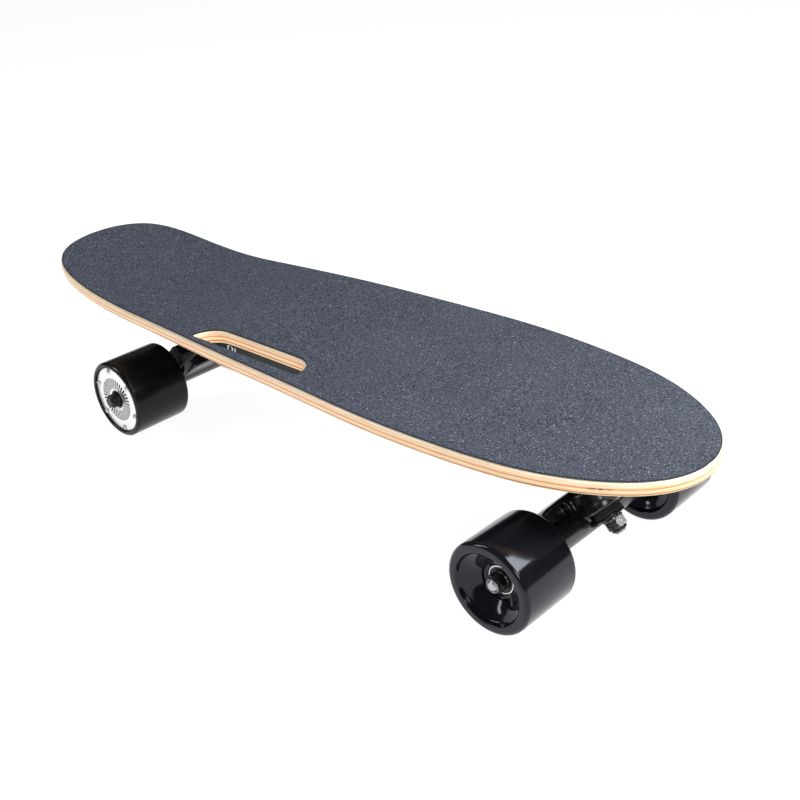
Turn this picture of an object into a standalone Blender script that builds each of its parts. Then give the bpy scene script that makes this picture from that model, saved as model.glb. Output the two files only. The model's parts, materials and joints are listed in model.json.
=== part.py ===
"""Electric skateboard: laminated deck, two sprung steering trucks, three urethane
wheels and one hub motor wheel.

Metres, +Z up. +X points to the wide nose, +Y to the left. The origin is on the
ground under the middle of the board. Run it with Blender 4.5:
    blender --background --python part.py
"""
import math

import bmesh
import bpy
import numpy as np
from mathutils import Matrix, Vector

MM = 0.001

# Deck
DECK_LENGTH = 0.700
DECK_TOP_MID = 0.1208        # grip surface above the ground at mid length
DECK_WOOD = 0.0107
DECK_EDGE_RADIUS = 0.0030
CAMBER_DROP = 0.0085         # how much lower the two ends would be without the kick
TAIL_KICK = 0.0285           # rise of the tail end
KICK_START_X = -0.179
GRIP_THICKNESS = 0.0008
GRIP_INSET = 0.0012
# Half widths at even steps of the angle that runs from tail to nose
HALF_WIDTHS = (0.0444, 0.0676, 0.0758, 0.0797, 0.0858, 0.0922,
               0.0964, 0.0997, 0.0959, 0.0847, 0.0628, 0.0340)
DECK_STATIONS = 30

# Hand slot in the deck, near the right edge
SLOT_X = (-0.090, 0.040)
SLOT_Y = (-0.0815, -0.0597)
SLOT_END = 0.021             # length of the rounded outer corners along X

# Trucks
FRONT_AXLE_X = 0.255
REAR_AXLE_X = -0.198
TRUCK_HEIGHT = 0.0620        # axle centre to the top of the baseplate
KINGPIN_ANGLE = math.radians(45.0)
RING_X = 0.0050              # hanger ring centre, outboard of the axle
RING_Z = 0.0209              # and above it
RING_RADIUS = 0.0170
RING_HALF = 0.0060
RING_BORE = 0.0082
SEAT_RADIUS = 0.0124
SEAT_DEPTH = 0.0020
PIVOT_REACH = 0.0385         # ring centre to the tip of the pivot
PIVOT_RADIUS = 0.0055
SOCKET_FRONT = 0.0302        # mouth of the pivot socket, along the steering axis
BUSHING_HEIGHT = 0.0140
BUSHING_RADIUS = 0.0112
WASHER_RADIUS = 0.0113
WASHER_THICKNESS = 0.0016
KINGPIN_RADIUS = 0.0046
TUBE_RADIUS = 0.0112
HANGER_END = 0.0752
MOTOR_HANGER_END = 0.0440
WING_END = 0.0540
MOTOR_WING_END = 0.0340
AXLE_RADIUS = 0.0039
AXLE_TIP = 0.1112
PLATE_LENGTH = 0.080
PLATE_WIDTH = 0.054
PLATE_THICKNESS = 0.0065
PLATE_CENTRE_X = 0.0035
SLOPE_X = -0.006             # where the plate takes the deck's slope
BOLT_SPACING_X = 0.0635
BOLT_SPACING_Y = 0.0413
BOLT_RADIUS = 0.0024

# Wheels
WHEEL_RADIUS = 0.0350
WHEEL_WIDTH = 0.0540
WHEEL_OFFSET = 0.0891        # centre of a plain wheel from the middle plane
BEARING_RADIUS = 0.0110
BEARING_BORE = 0.0042
BEARING_WIDTH = 0.0070
SPACER_WIDTH = 0.0100
HUB_RADIUS = 0.0360
HUB_WIDTH = 0.0570
HUB_OFFSET = 0.0750
HUB_CAN_RADIUS = 0.0310
VENT_COUNT = 36
WHEEL_STEPS = 28

# Underside box
BOX_X = (-0.125, 0.175)
BOX_HALF_WIDTH = 0.0520
BOX_FLOOR_Z = 0.0765
BOX_WALL = 0.0025
BOX_CORNER = 0.016
GASKET_THICKNESS = 0.0012
PORT_X = -0.0800
BUTTON_X = -0.1010
PANEL_Z = 0.1005

GAP = 0.0003


# ---------------------------------------------------------------- basic tools

def clear_scene():
    for old in list(bpy.data.objects):
        bpy.data.objects.remove(old, do_unlink=True)


def material(name, colour, roughness, metallic=0.0):
    """A plain Principled finish."""
    made = bpy.data.materials.get(name)
    if made is None:
        made = bpy.data.materials.new(name)
        made.use_nodes = True
        shader = made.node_tree.nodes["Principled BSDF"]
        shader.inputs["Base Color"].default_value = (*colour, 1.0)
        shader.inputs["Roughness"].default_value = roughness
        shader.inputs["Metallic"].default_value = metallic
    return made


def finish(name):
    """The finishes of the board, by name."""
    table = {
        "maple": ((0.80, 0.60, 0.38), 0.45, 0.0),
        "grip": ((0.055, 0.062, 0.078), 0.95, 0.0),
        "cast_black": ((0.015, 0.015, 0.017), 0.38, 0.6),
        "steel": ((0.45, 0.45, 0.46), 0.35, 1.0),
        "black_steel": ((0.03, 0.03, 0.032), 0.40, 0.9),
        "urethane": ((0.010, 0.010, 0.014), 0.18, 0.0),
        "bushing": ((0.020, 0.020, 0.022), 0.45, 0.0),
        "rubber": ((0.025, 0.025, 0.025), 0.80, 0.0),
        "plastic": ((0.022, 0.022, 0.024), 0.55, 0.0),
        "nylon": ((0.80, 0.80, 0.78), 0.50, 0.0),
        "cover": ((0.82, 0.83, 0.85), 0.25, 1.0),
        "alloy": ((0.10, 0.10, 0.11), 0.45, 0.9),
        "copper": ((0.70, 0.33, 0.16), 0.40, 1.0),
        "wrap": ((0.05, 0.16, 0.45), 0.40, 0.0),
        "board": ((0.03, 0.20, 0.09), 0.50, 0.0),
        "cable": ((0.015, 0.015, 0.015), 0.55, 0.0),
    }
    return material(name, *table[name])


def new_object(name, mesh, look):
    piece = bpy.data.objects.new(name, mesh)
    bpy.context.scene.collection.objects.link(piece)
    if look is not None:
        mesh.materials.append(finish(look))
    return piece


def mesh_from(name, points, faces):
    mesh = bpy.data.meshes.new(name)
    mesh.from_pydata([tuple(p) for p in points], [], faces)
    mesh.update()
    return mesh


def settle(piece):
    """Bake a piece's modifiers into its mesh."""
    bpy.context.view_layer.update()
    graph = bpy.context.evaluated_depsgraph_get()
    baked = bpy.data.meshes.new_from_object(piece.evaluated_get(graph))
    piece.modifiers.clear()
    piece.data = baked
    return piece


def boolean(piece, tool, operation):
    """Cut or join a tool into a piece, then remove the tool."""
    step = piece.modifiers.new("Boolean", "BOOLEAN")
    step.operation = operation
    step.solver = "EXACT"
    step.object = tool
    settle(piece)
    bpy.data.objects.remove(tool, do_unlink=True)
    return piece


def cut(piece, *tools):
    for tool in tools:
        boolean(piece, tool, "DIFFERENCE")
    return piece


def join(piece, *tools):
    for tool in tools:
        boolean(piece, tool, "UNION")
    return piece


def smooth(piece, angle=35.0):
    piece.data.shade_smooth()
    piece.data.set_sharp_from_angle(angle=math.radians(angle))
    return piece


def hang(piece, parent=None, location=(0, 0, 0), rotation=(0, 0, 0)):
    piece.parent = parent
    piece.location = location
    piece.rotation_euler = rotation
    return piece


def carry(piece, matrix):
    """Move the shape itself, not the object."""
    piece.data.transform(matrix)
    return piece


def frame(name, parent=None, location=(0, 0, 0), rotation=(0, 0, 0)):
    empty = bpy.data.objects.new(name, None)
    bpy.context.scene.collection.objects.link(empty)
    return hang(empty, parent, location, rotation)


# ---------------------------------------------------------------- shapes

def turned(name, look, profile, steps=32):
    """Turn a closed (radius, height) profile round Z, given anticlockwise."""
    points = [Vector((r, 0.0, z)) for r, z in profile]
    mesh = bpy.data.meshes.new(name)
    count = len(points)
    mesh.from_pydata(points, [(i, (i + 1) % count) for i in range(count)], [])
    piece = new_object(name, mesh, look)
    screw = piece.modifiers.new("Turn", "SCREW")
    screw.axis = "Z"
    screw.steps = steps
    screw.render_steps = steps
    screw.use_merge_vertices = True
    screw.merge_threshold = 0.00001
    settle(piece)
    build = bmesh.new()
    build.from_mesh(piece.data)
    bmesh.ops.remove_doubles(build, verts=build.verts, dist=0.000001)
    loose = [e for e in build.edges if not e.link_faces]
    bmesh.ops.delete(build, geom=loose, context="EDGES")
    bmesh.ops.recalc_face_normals(build, faces=build.faces)
    build.to_mesh(piece.data)
    build.free()
    if look is not None:
        piece.data.materials.clear()
        piece.data.materials.append(finish(look))
    return smooth(piece)


def ring(name, look, inner, outer, low, high, steps=24):
    return turned(name, look, [(inner, low), (outer, low), (outer, high), (inner, high)], steps)


def rod(name, look, radius, low, high, steps=16, chamfer=0.0):
    """A straight bar along Z."""
    mesh = bpy.data.meshes.new(name)
    piece = new_object(name, mesh, look)
    build = bmesh.new()
    bmesh.ops.create_cone(build, cap_ends=True, segments=steps, radius1=radius,
                          radius2=radius, depth=high - low)
    bmesh.ops.translate(build, verts=build.verts, vec=(0, 0, (high + low) / 2))
    if chamfer > 0:
        rims = [e for e in build.edges if abs(e.verts[0].co.z - e.verts[1].co.z) < 1e-9]
        bmesh.ops.bevel(build, geom=rims, offset=chamfer, segments=1, affect="EDGES")
    build.to_mesh(mesh)
    build.free()
    return smooth(piece)


def prism(name, look, outline, low, high, bevel=0.0, segments=1):
    """A flat outline of (x, y) points, anticlockwise, given a height along Z."""
    count = len(outline)
    points = [(x, y, low) for x, y in outline] + [(x, y, high) for x, y in outline]
    faces = [tuple(reversed(range(count))), tuple(range(count, 2 * count))]
    faces += [(i, (i + 1) % count, count + (i + 1) % count, count + i) for i in range(count)]
    piece = new_object(name, mesh_from(name, points, faces), look)
    if bevel > 0:
        step = piece.modifiers.new("Bevel", "BEVEL")
        step.width = bevel
        step.segments = segments
        step.limit_method = "ANGLE"
        step.angle_limit = math.radians(50)
        settle(piece)
    return smooth(piece)


def block(name, look, low, high, bevel=0.0, segments=1):
    outline = [(low[0], low[1]), (high[0], low[1]), (high[0], high[1]), (low[0], high[1])]
    return prism(name, look, outline, low[2], high[2], bevel, segments)


def rounded_rectangle(x_low, x_high, y_low, y_high, radius, steps=4):
    outline = []
    corners = ((x_high, y_low, -90), (x_high, y_high, 0), (x_low, y_high, 90), (x_low, y_low, 180))
    for x, y, start in corners:
        cx = x - radius if x == x_high else x + radius
        cy = y - radius if y == y_high else y + radius
        for i in range(steps + 1):
            turn = math.radians(start + 90.0 * i / steps)
            outline.append((cx + radius * math.cos(turn), cy + radius * math.sin(turn)))
    return outline


def hexagon(across_flats, turn=0.0):
    radius = across_flats / math.sqrt(3.0)
    return [(radius * math.cos(turn + i * math.pi / 3), radius * math.sin(turn + i * math.pi / 3))
            for i in range(6)]


def loft(name, look, sections):
    """Skin equal rings of points, and close both ends."""
    count = len(sections[0])
    points = [p for section in sections for p in section]
    faces = [tuple(reversed(range(count)))]
    for s in range(len(sections) - 1):
        base = s * count
        for i in range(count):
            j = (i + 1) % count
            faces.append((base + i, base + j, base + count + j, base + count + i))
    last = (len(sections) - 1) * count
    faces.append(tuple(range(last, last + count)))
    piece = new_object(name, mesh_from(name, points, faces), look)
    build = bmesh.new()
    build.from_mesh(piece.data)
    bmesh.ops.recalc_face_normals(build, faces=build.faces)
    build.to_mesh(piece.data)
    build.free()
    return smooth(piece)


TO_LEFT = Matrix.Rotation(math.radians(-90), 4, "X")     # +Z to +Y
TO_RIGHT = Matrix.Rotation(math.radians(90), 4, "X")     # +Z to -Y


# ---------------------------------------------------------------- deck

def deck_top(x):
    """Height of the grip surface at x."""
    hub_lift = (HUB_RADIUS - WHEEL_RADIUS) * (FRONT_AXLE_X - x) / (FRONT_AXLE_X - REAR_AXLE_X)
    camber = -CAMBER_DROP * (2 * x / DECK_LENGTH) ** 2
    tail = max(0.0, (KICK_START_X - x) / (DECK_LENGTH / 2 + KICK_START_X))
    middle = DECK_TOP_MID - (HUB_RADIUS - WHEEL_RADIUS) * FRONT_AXLE_X / (
        FRONT_AXLE_X - REAR_AXLE_X)
    return middle + hub_lift + camber + TAIL_KICK * tail ** 2


def deck_bottom(x):
    return deck_top(x) - GRIP_THICKNESS - GAP - DECK_WOOD


def spline_table():
    """Second derivatives of a closed cubic spline through the outline's points."""
    steps = len(HALF_WIDTHS) + 1
    angles = [math.pi * i / steps for i in range(steps + 1)]
    knots = [(-DECK_LENGTH / 2 * math.cos(a), w)
             for a, w in zip(angles, (0.0, *HALF_WIDTHS, 0.0))]
    closed = knots + [(x, -w) for x, w in reversed(knots[1:-1])]
    count = len(closed)
    values = np.array(closed)
    matrix = np.zeros((count, count))
    right = np.zeros((count, 2))
    for i in range(count):
        before = (i - 1) % count
        after = (i + 1) % count
        matrix[i, i] = 4.0
        matrix[i, before] = 1.0
        matrix[i, after] = 1.0
        right[i] = 6.0 * (values[before] - 2.0 * values[i] + values[after])
    return values, np.linalg.solve(matrix, right), steps


SPLINE = spline_table()


def outline_point(turn):
    """Point (x, half width) at turn 0 (tail tip) to 1 (nose tip)."""
    values, bends, steps = SPLINE
    place = min(max(turn, 0.0), 1.0) * steps
    i = min(int(place), steps - 1)
    u = place - i
    v = 1.0 - u
    point = (v * values[i] + u * values[i + 1]
             + (v ** 3 - v) * bends[i] / 6.0 + (u ** 3 - u) * bends[i + 1] / 6.0)
    return float(point[0]), max(float(point[1]), 0.0)


def deck_sections(inset, low, high, edge):
    """Cross sections from tail to nose, with rounded edges of the radius edge."""
    sections = []
    for i in range(DECK_STATIONS + 1):
        turn = 0.012 + (1.0 - 0.024) * i / DECK_STATIONS
        x, half = outline_point(turn)
        scale = 1.0 - 2.0 * inset / DECK_LENGTH
        x *= scale
        half = max(half - inset, 0.002)
        bottom = low(x)
        top = high(x)
        right = [(x, -half + edge, bottom), (x, -half + edge * 0.3, bottom + edge * 0.3),
                 (x, -half, bottom + edge), (x, -half, top - edge),
                 (x, -half + edge * 0.3, top - edge * 0.3), (x, -half + edge, top)]
        left = [(x, -y, z) for x, y, z in reversed(right)]
        sections.append(right + left)
    return sections


def grip_sections():
    """Square-edged cross sections of the grip tape."""
    sections = []
    for section in deck_sections(GRIP_INSET, lambda x: deck_top(x) - GRIP_THICKNESS, deck_top, 0.0):
        sections.append([section[0], section[5], section[6], section[11]])
    return sections


def slot_outline(grow=0.0, steps=5):
    """The hand slot: straight along the edge side, its two inner corners well rounded."""
    x_low, x_high = SLOT_X[0] - grow, SLOT_X[1] + grow
    y_low, y_high = SLOT_Y[0] - grow, SLOT_Y[1] + grow
    corner = 0.0025
    depth = y_high - y_low - corner
    outline = [(x_low + corner, y_low), (x_high - corner, y_low), (x_high, y_low + corner)]
    for i in range(steps + 1):
        turn = math.pi / 2 * i / steps
        outline.append((x_high - SLOT_END * (1 - math.cos(turn)),
                        y_low + corner + depth * math.sin(turn)))
    for i in range(steps + 1):
        turn = math.pi / 2 * (1 - i / steps)
        outline.append((x_low + SLOT_END * (1 - math.cos(turn)),
                        y_low + corner + depth * math.sin(turn)))
    outline.append((x_low, y_low + corner))
    tidy = [outline[0]]
    for point in outline[1:]:
        if math.dist(point, tidy[-1]) > 0.0002:
            tidy.append(point)
    return tidy


def truck_matrix(axle_x, side, axle_z):
    """A truck's frame: origin at its axle, +X towards its end of the board."""
    tilt = deck_slope(axle_x, side)
    heading = 0.0 if side > 0 else math.pi
    return (Matrix.Translation((axle_x, 0, axle_z)) @ Matrix.Rotation(heading, 4, "Z")
            @ Matrix.Rotation(tilt, 4, "Y"))


def bolt_places():
    """(x, y) of the four bolts in the truck's frame."""
    return [(PLATE_CENTRE_X + dx * BOLT_SPACING_X, dy * BOLT_SPACING_Y)
            for dx in (-0.5, 0.5) for dy in (-0.5, 0.5)]


def bolt_hole(x, y, top):
    """A countersunk clearance hole through the deck, in the truck's frame."""
    head = 0.0052 + GAP
    shank = BOLT_RADIUS + GAP
    low = top - DECK_WOOD - 0.003
    profile = [(0.0, low), (shank, low), (shank, top - 0.0046), (head, top - 0.0014),
               (head, top + 0.002), (0.0, top + 0.002)]
    return carry(turned("hole_tool", None, profile, 12), Matrix.Translation((x, y, 0)))


def build_deck():
    deck = loft("deck", "maple", deck_sections(0.0, deck_bottom, lambda x: deck_bottom(x) + DECK_WOOD,
                                               DECK_EDGE_RADIUS))
    cut(deck, prism("slot_tool", None, slot_outline(), 0.08, 0.16))
    for axle_x, side, axle_z in ((FRONT_AXLE_X, 1, WHEEL_RADIUS), (REAR_AXLE_X, -1, HUB_RADIUS)):
        to_world = truck_matrix(axle_x, side, axle_z)
        for x, y in bolt_places():
            hole = bolt_hole(x, y, riser_top(x, axle_x, side, axle_z) + DECK_WOOD)
            cut(deck, carry(hole, to_world))
    smooth(deck)
    grip = loft("grip_tape", "grip", grip_sections())
    cut(grip, prism("slot_tool", None, slot_outline(0.0008), 0.08, 0.16))
    smooth(grip)


# ---------------------------------------------------------------- trucks

def deck_slope(axle_x, side):
    """Downward tilt of the deck's underside over a truck, towards its own end."""
    first = axle_x + side * (SLOPE_X - 0.03)
    last = axle_x + side * (SLOPE_X + 0.03)
    drop = deck_bottom(first) - deck_bottom(last)
    return math.atan2(drop, 0.06)


def riser_top(x, axle_x, side, axle_z):
    """Height of the deck's underside, less the gap, in the truck's frame."""
    tilt = deck_slope(axle_x, side)
    height = TRUCK_HEIGHT + 0.005
    for _ in range(6):
        world_x = axle_x + side * (x * math.cos(tilt) + height * math.sin(tilt))
        want = deck_bottom(world_x) - GAP - axle_z
        height = (want + x * math.sin(tilt)) / math.cos(tilt)
    return height


def build_riser(end, axle_x, side, axle_z, truck):
    """A rubber pad that fills the wedge between the baseplate and the deck."""
    sections = []
    half_width = PLATE_WIDTH / 2
    low = TRUCK_HEIGHT + GAP
    for i in range(9):
        x = PLATE_CENTRE_X + PLATE_LENGTH * (i / 8 - 0.5)
        top = riser_top(x, axle_x, side, axle_z)
        sections.append([(x, -half_width, low), (x, half_width, low),
                         (x, half_width, top), (x, -half_width, top)])
    pad = loft(f"{end}_riser_pad", "rubber", sections)
    for x, y in bolt_places():
        hole = rod("hole_tool", None, BOLT_RADIUS + GAP, 0.04, 0.09, 12)
        cut(pad, carry(hole, Matrix.Translation((x, y, 0))))
    hang(smooth(pad), truck)


def build_baseplate(name, truck):
    """Plate, kingpin boss and the outboard housing of the pivot cup."""
    half = PLATE_LENGTH / 2
    outline = rounded_rectangle(PLATE_CENTRE_X - half, PLATE_CENTRE_X + half,
                                -PLATE_WIDTH / 2, PLATE_WIDTH / 2, 0.008, 3)
    plate = prism(name, "cast_black", outline, TRUCK_HEIGHT - PLATE_THICKNESS, TRUCK_HEIGHT)
    wedge_side = [(-0.0380, TRUCK_HEIGHT - 0.003), (-0.0340, 0.0440), (-0.0290, 0.0350),
                  (-0.0197, 0.0258), (0.0001, 0.0456), (0.0100, 0.0520), (0.0181, 0.0506),
                  (0.0320, 0.0367), (0.0425, 0.0475), (0.0415, TRUCK_HEIGHT - 0.003)]
    wedge = prism("wedge_tool", None, list(reversed(wedge_side)), -0.0125, 0.0125, 0.0015)
    carry(wedge, Matrix.Rotation(math.radians(90), 4, "X"))
    join(plate, wedge)
    to_steer = steer_matrix()
    seat = RING_HALF - SEAT_DEPTH + BUSHING_HEIGHT + WASHER_THICKNESS + GAP
    boss = carry(rod("boss_tool", None, 0.0140, seat, seat + 0.019, 20), to_steer)
    join(plate, boss)
    socket = carry(rod("socket_tool", None, 0.0118, 0.0275, 0.0445, 20),
                   to_steer @ Matrix.Rotation(math.radians(90), 4, "Y"))
    join(plate, socket)
    trim = block("trim_tool", None, (-0.08, -0.04, TRUCK_HEIGHT), (0.06, 0.04, 0.10))
    cut(plate, trim)
    bore = carry(rod("bore_tool", None, KINGPIN_RADIUS + GAP, 0.0, 0.040, 16), to_steer)
    pocket = carry(prism("pocket_tool", None, hexagon(0.0150), seat + 0.0100, seat + 0.040),
                   to_steer)
    cup = carry(rod("cup_tool", None, 0.0092, 0.0200, PIVOT_REACH + 0.0035, 20),
                to_steer @ Matrix.Rotation(math.radians(90), 4, "Y"))
    wing_room = carry(block("room_tool", None, (-0.06, -0.04, -0.05),
                            (SOCKET_FRONT, 0.04, 0.0172)),
                      to_steer)
    washer_room = carry(rod("room_tool", None, 0.0150, -0.03, seat, 20), to_steer)
    cut(plate, bore, pocket, cup, wing_room, washer_room)
    for x, y in bolt_places():
        hole = rod("hole_tool", None, BOLT_RADIUS + GAP, 0.03, 0.08, 12)
        cut(plate, carry(hole, Matrix.Translation((x, y, 0))))
    hang(smooth(plate), truck)
    return plate


def steer_matrix():
    """Truck frame to steering frame: X on the steering axis, Z up the kingpin."""
    return (Matrix.Translation((RING_X, 0, RING_Z))
            @ Matrix.Rotation(-KINGPIN_ANGLE, 4, "Y"))


def axle_in_steer():
    """The axle's (x, z) in the steering frame."""
    place = steer_matrix().inverted() @ Vector((0, 0, 0))
    return place.x, place.z


def wing_outline(ends):
    """Front view of the hanger: an arch over the axle tube, as (y, z) points."""
    _, axle_z = axle_in_steer()
    top = 0.0112
    points = [(-ends[0], axle_z - 0.004), (ends[1], axle_z - 0.004), (ends[1], axle_z + 0.006)]
    for sign, end in ((1, ends[1]), (-1, ends[0])):
        shoulder = [(sign * (end - 0.0012), top - 0.0125), (sign * (end - 0.0050), top - 0.0060),
                    (sign * (end - 0.0120), top - 0.0022), (sign * (end * 0.45), top)]
        points += shoulder if sign > 0 else list(reversed(shoulder))
    points.append((-ends[0], axle_z + 0.006))
    return points


def build_hanger(name, steer, ends, wing_ends):
    """The cast hanger: axle tube, arched wing, ring and pivot, in the steering frame."""
    axle_x, axle_z = axle_in_steer()
    tube_profile = [(0.0, -ends[0]), (0.0084, -ends[0]), (0.0088, -wing_ends[0] - 0.006),
                    (TUBE_RADIUS, -wing_ends[0] + 0.002), (TUBE_RADIUS, wing_ends[1] - 0.002),
                    (0.0088, wing_ends[1] + 0.006), (0.0084, ends[1]), (0.0, ends[1])]
    body = turned(name, "cast_black", tube_profile, 20)
    carry(body, Matrix.Translation((axle_x, 0, axle_z)) @ TO_LEFT)
    wing = prism("wing_tool", None, wing_outline(wing_ends), axle_x - 0.0085, axle_x + 0.0075)
    to_wing = Matrix(((0, 0, 1, 0), (1, 0, 0, 0), (0, 1, 0, 0), (0, 0, 0, 1)))
    join(body, carry(wing, to_wing))
    join(body, rod("ring_tool", None, RING_RADIUS, -RING_HALF, RING_HALF, 24))
    bridge = block("bridge_tool", None, (axle_x + 0.004, -0.0150, -RING_HALF),
                   (0.0, 0.0150, RING_HALF))
    join(body, bridge)
    nose_profile = [(0.0, 0.0130), (0.0098, 0.0130), (0.0098, 0.0240), (PIVOT_RADIUS + 0.0010, 0.0275),
                    (PIVOT_RADIUS, PIVOT_REACH - 0.003), (0.0034, PIVOT_REACH), (0.0, PIVOT_REACH)]
    nose = turned("nose_tool", None, nose_profile, 16)
    join(body, carry(nose, Matrix.Rotation(math.radians(90), 4, "Y")))
    cut(body, rod("bore_tool", None, RING_BORE, -0.03, 0.03, 16))
    for sign in (-1, 1):
        low, high = sorted((sign * (RING_HALF - SEAT_DEPTH), sign * 0.03))
        cut(body, rod("seat_tool", None, SEAT_RADIUS, low, high, 20))
    cut(body, block("relief_tool", None, (-0.0126, -0.0215, -0.05), (0.0165, 0.0215, -RING_HALF)))
    cut(body, block("relief_tool", None, (-0.0126, -0.0190, RING_HALF), (0.0165, 0.0190, 0.05)))
    for sign, end in ((-1, wing_ends[0]), (1, wing_ends[1])):
        cut_pockets(body, axle_x, sign, end)
    axle_hole = rod("hole_tool", None, AXLE_RADIUS + GAP, -0.2, 0.2, 16)
    cut(body, carry(axle_hole, Matrix.Translation((axle_x, 0, axle_z)) @ TO_LEFT))
    hang(smooth(body, 40), steer)
    return body


def cut_pockets(body, axle_x, sign, end):
    """Weight-saving pockets in the front face of the wing, on one side."""
    start = 0.0215
    room = end - 0.0045 - start
    count = 2 if room > 0.02 else 1
    rib = 0.0030
    width = (room - rib * (count - 1)) / count
    if width < 0.004:
        return
    for i in range(count):
        y_low = start + i * (width + rib)
        outline = rounded_rectangle(y_low, y_low + width, -0.0012, 0.0062, 0.0030, 2)
        pocket = prism("pocket_tool", None, outline, axle_x - 0.0015, axle_x + 0.03)
        to_front = Matrix(((0, 0, 1, 0), (sign, 0, 0, 0), (0, 1, 0, 0), (0, 0, 0, 1)))
        carry(pocket, to_front)
        if sign < 0:
            pocket.data.flip_normals()
        cut(body, pocket)


def build_kingpin_stack(end, steer):
    """Kingpin, its nut, two bushings and two cup washers, on the steering frame's Z."""
    seat = RING_HALF - SEAT_DEPTH
    road = -(seat + GAP + BUSHING_HEIGHT + WASHER_THICKNESS + GAP)
    board = seat + GAP + BUSHING_HEIGHT + WASHER_THICKNESS + GAP
    head = board + 0.0104
    pin = rod(f"{end}_kingpin", "black_steel", KINGPIN_RADIUS, road - 0.0125, head + 0.001, 16)
    join(pin, prism("head_tool", None, hexagon(0.0143), head, head + 0.0055))
    hang(smooth(pin), steer)
    nut = prism(f"{end}_kingpin_nut", "black_steel", hexagon(0.0145, 0.35),
                road - 0.0085, road - GAP)
    collar = rod("collar_tool", None, 0.0062, road - 0.0108, road - 0.0080, 14)
    join(nut, collar)
    cut(nut, rod("bore_tool", None, KINGPIN_RADIUS + 0.0002, road - 0.02, road + 0.01, 14))
    hang(smooth(nut), steer)
    inner = KINGPIN_RADIUS + GAP
    tall = BUSHING_HEIGHT
    wide = BUSHING_RADIUS
    barrel = [(inner, 0.0), (wide - 0.0009, 0.0), (wide, 0.0011), (wide, tall - 0.0011),
              (wide - 0.0009, tall), (inner, tall)]
    cone = [(inner, 0.0), (wide - 0.0026, 0.0), (wide, tall - 0.0020), (wide - 0.0008, tall),
            (inner, tall)]
    hang(turned(f"{end}_boardside_bushing", "bushing", barrel, 18), steer, (0, 0, seat + GAP))
    low = turned(f"{end}_roadside_bushing", "bushing", cone, 18)
    hang(low, steer, (0, 0, -seat - GAP - tall))
    for side, height in (("boardside", board - WASHER_THICKNESS - GAP / 2),
                         ("roadside", road + GAP / 2)):
        washer = ring(f"{end}_{side}_washer", "black_steel", inner, WASHER_RADIUS, 0.0,
                      WASHER_THICKNESS - GAP, 18)
        hang(washer, steer, (0, 0, height))


def build_pivot_cup(name, steer):
    """A urethane cup between the pivot and its housing on the baseplate."""
    inner = PIVOT_RADIUS + GAP
    tip = PIVOT_REACH + GAP
    profile = [(0.0, tip + 0.0028), (0.0080, tip + 0.0028), (0.0088, tip + 0.0018),
               (0.0088, SOCKET_FRONT), (inner + 0.0012, SOCKET_FRONT), (inner, tip - 0.0030),
               (0.0036, tip), (0.0, tip)]
    cup = turned(name, "bushing", profile, 16)
    hang(carry(cup, Matrix.Rotation(math.radians(90), 4, "Y")), steer)


def build_truck_bolts(end, axle_x, side, axle_z, truck):
    """Countersunk bolts through deck, riser and plate, each with its lock nut."""
    low = TRUCK_HEIGHT - PLATE_THICKNESS
    for x, y in bolt_places():
        top = riser_top(x, axle_x, side, axle_z) + DECK_WOOD - 0.0004
        place = "outer" if x > PLATE_CENTRE_X else "inner"
        hand = "left" if y * side > 0 else "right"
        profile = [(0.0, low - 0.0085), (BOLT_RADIUS, low - 0.0085), (BOLT_RADIUS, top - 0.0032),
                   (0.0051, top - 0.0006), (0.0051, top), (0.0, top)]
        bolt = turned(f"{end}_{place}_{hand}_bolt", "black_steel", profile, 10)
        join(bolt, prism("nut_tool", None, hexagon(0.0092), low - 0.0055, low - GAP))
        hang(smooth(bolt), truck, (x, y, 0))


def build_axle(name, truck, tips, motor_side):
    """A through axle; the motor side is thicker where the stator sits."""
    radius = AXLE_RADIUS
    if motor_side:
        start = MOTOR_HANGER_END + GAP
        profile = [(0.0, -tips[0]), (radius - 0.0006, -tips[0]), (radius, -tips[0] + 0.001),
                   (radius, start), (0.0052, start), (0.0052, tips[1] - 0.001),
                   (0.0044, tips[1]), (0.0, tips[1])]
    else:
        profile = [(0.0, -tips[0]), (radius - 0.0006, -tips[0]), (radius, -tips[0] + 0.001),
                   (radius, tips[1] - 0.001), (radius - 0.0006, tips[1]), (0.0, tips[1])]
    axle = turned(name, "steel", profile, 16)
    return hang(carry(axle, TO_LEFT), truck)


def build_axle_nut(name, truck, start, sign, bore):
    """A lock nut with a round collar and a washer face, on the axle's end."""
    nut = prism(name, "black_steel", hexagon(0.0127, 0.2), start + 0.0003, start + 0.0066)
    join(nut, rod("collar_tool", None, 0.0054, start + 0.0060, start + 0.0085, 14))
    cut(nut, rod("bore_tool", None, bore + 0.0002, start - 0.01, start + 0.02, 14))
    carry(nut, TO_LEFT if sign > 0 else TO_RIGHT)
    hang(smooth(nut), truck)


# ---------------------------------------------------------------- wheels

def build_wheel(name, truck, sign, radius):
    """A urethane wheel with two bearings and the spacer between them."""
    upper = wheel_upper(radius)
    profile = [(r, -z) for r, z in upper] + [(r, z) for r, z in reversed(upper)]
    tyre = turned(f"{name}_wheel", "urethane", profile, WHEEL_STEPS)
    place = (0, sign * WHEEL_OFFSET, 0)
    hang(carry(tyre, TO_LEFT), truck, place)
    for side, offset in (("inner", -1), ("outer", 1)):
        centre = sign * offset * (SPACER_WIDTH + BEARING_WIDTH) / 2
        bearing = build_bearing(f"{name}_{side}_bearing", BEARING_BORE, BEARING_RADIUS,
                                BEARING_WIDTH)
        carry(bearing, TO_LEFT)
        hang(bearing, truck, (0, sign * WHEEL_OFFSET + centre, 0))
    spacer = ring(f"{name}_spacer", "alloy", BEARING_BORE, 0.0060, -SPACER_WIDTH / 2 + GAP,
                  SPACER_WIDTH / 2 - GAP, 12)
    hang(carry(spacer, TO_LEFT), truck, place)


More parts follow.
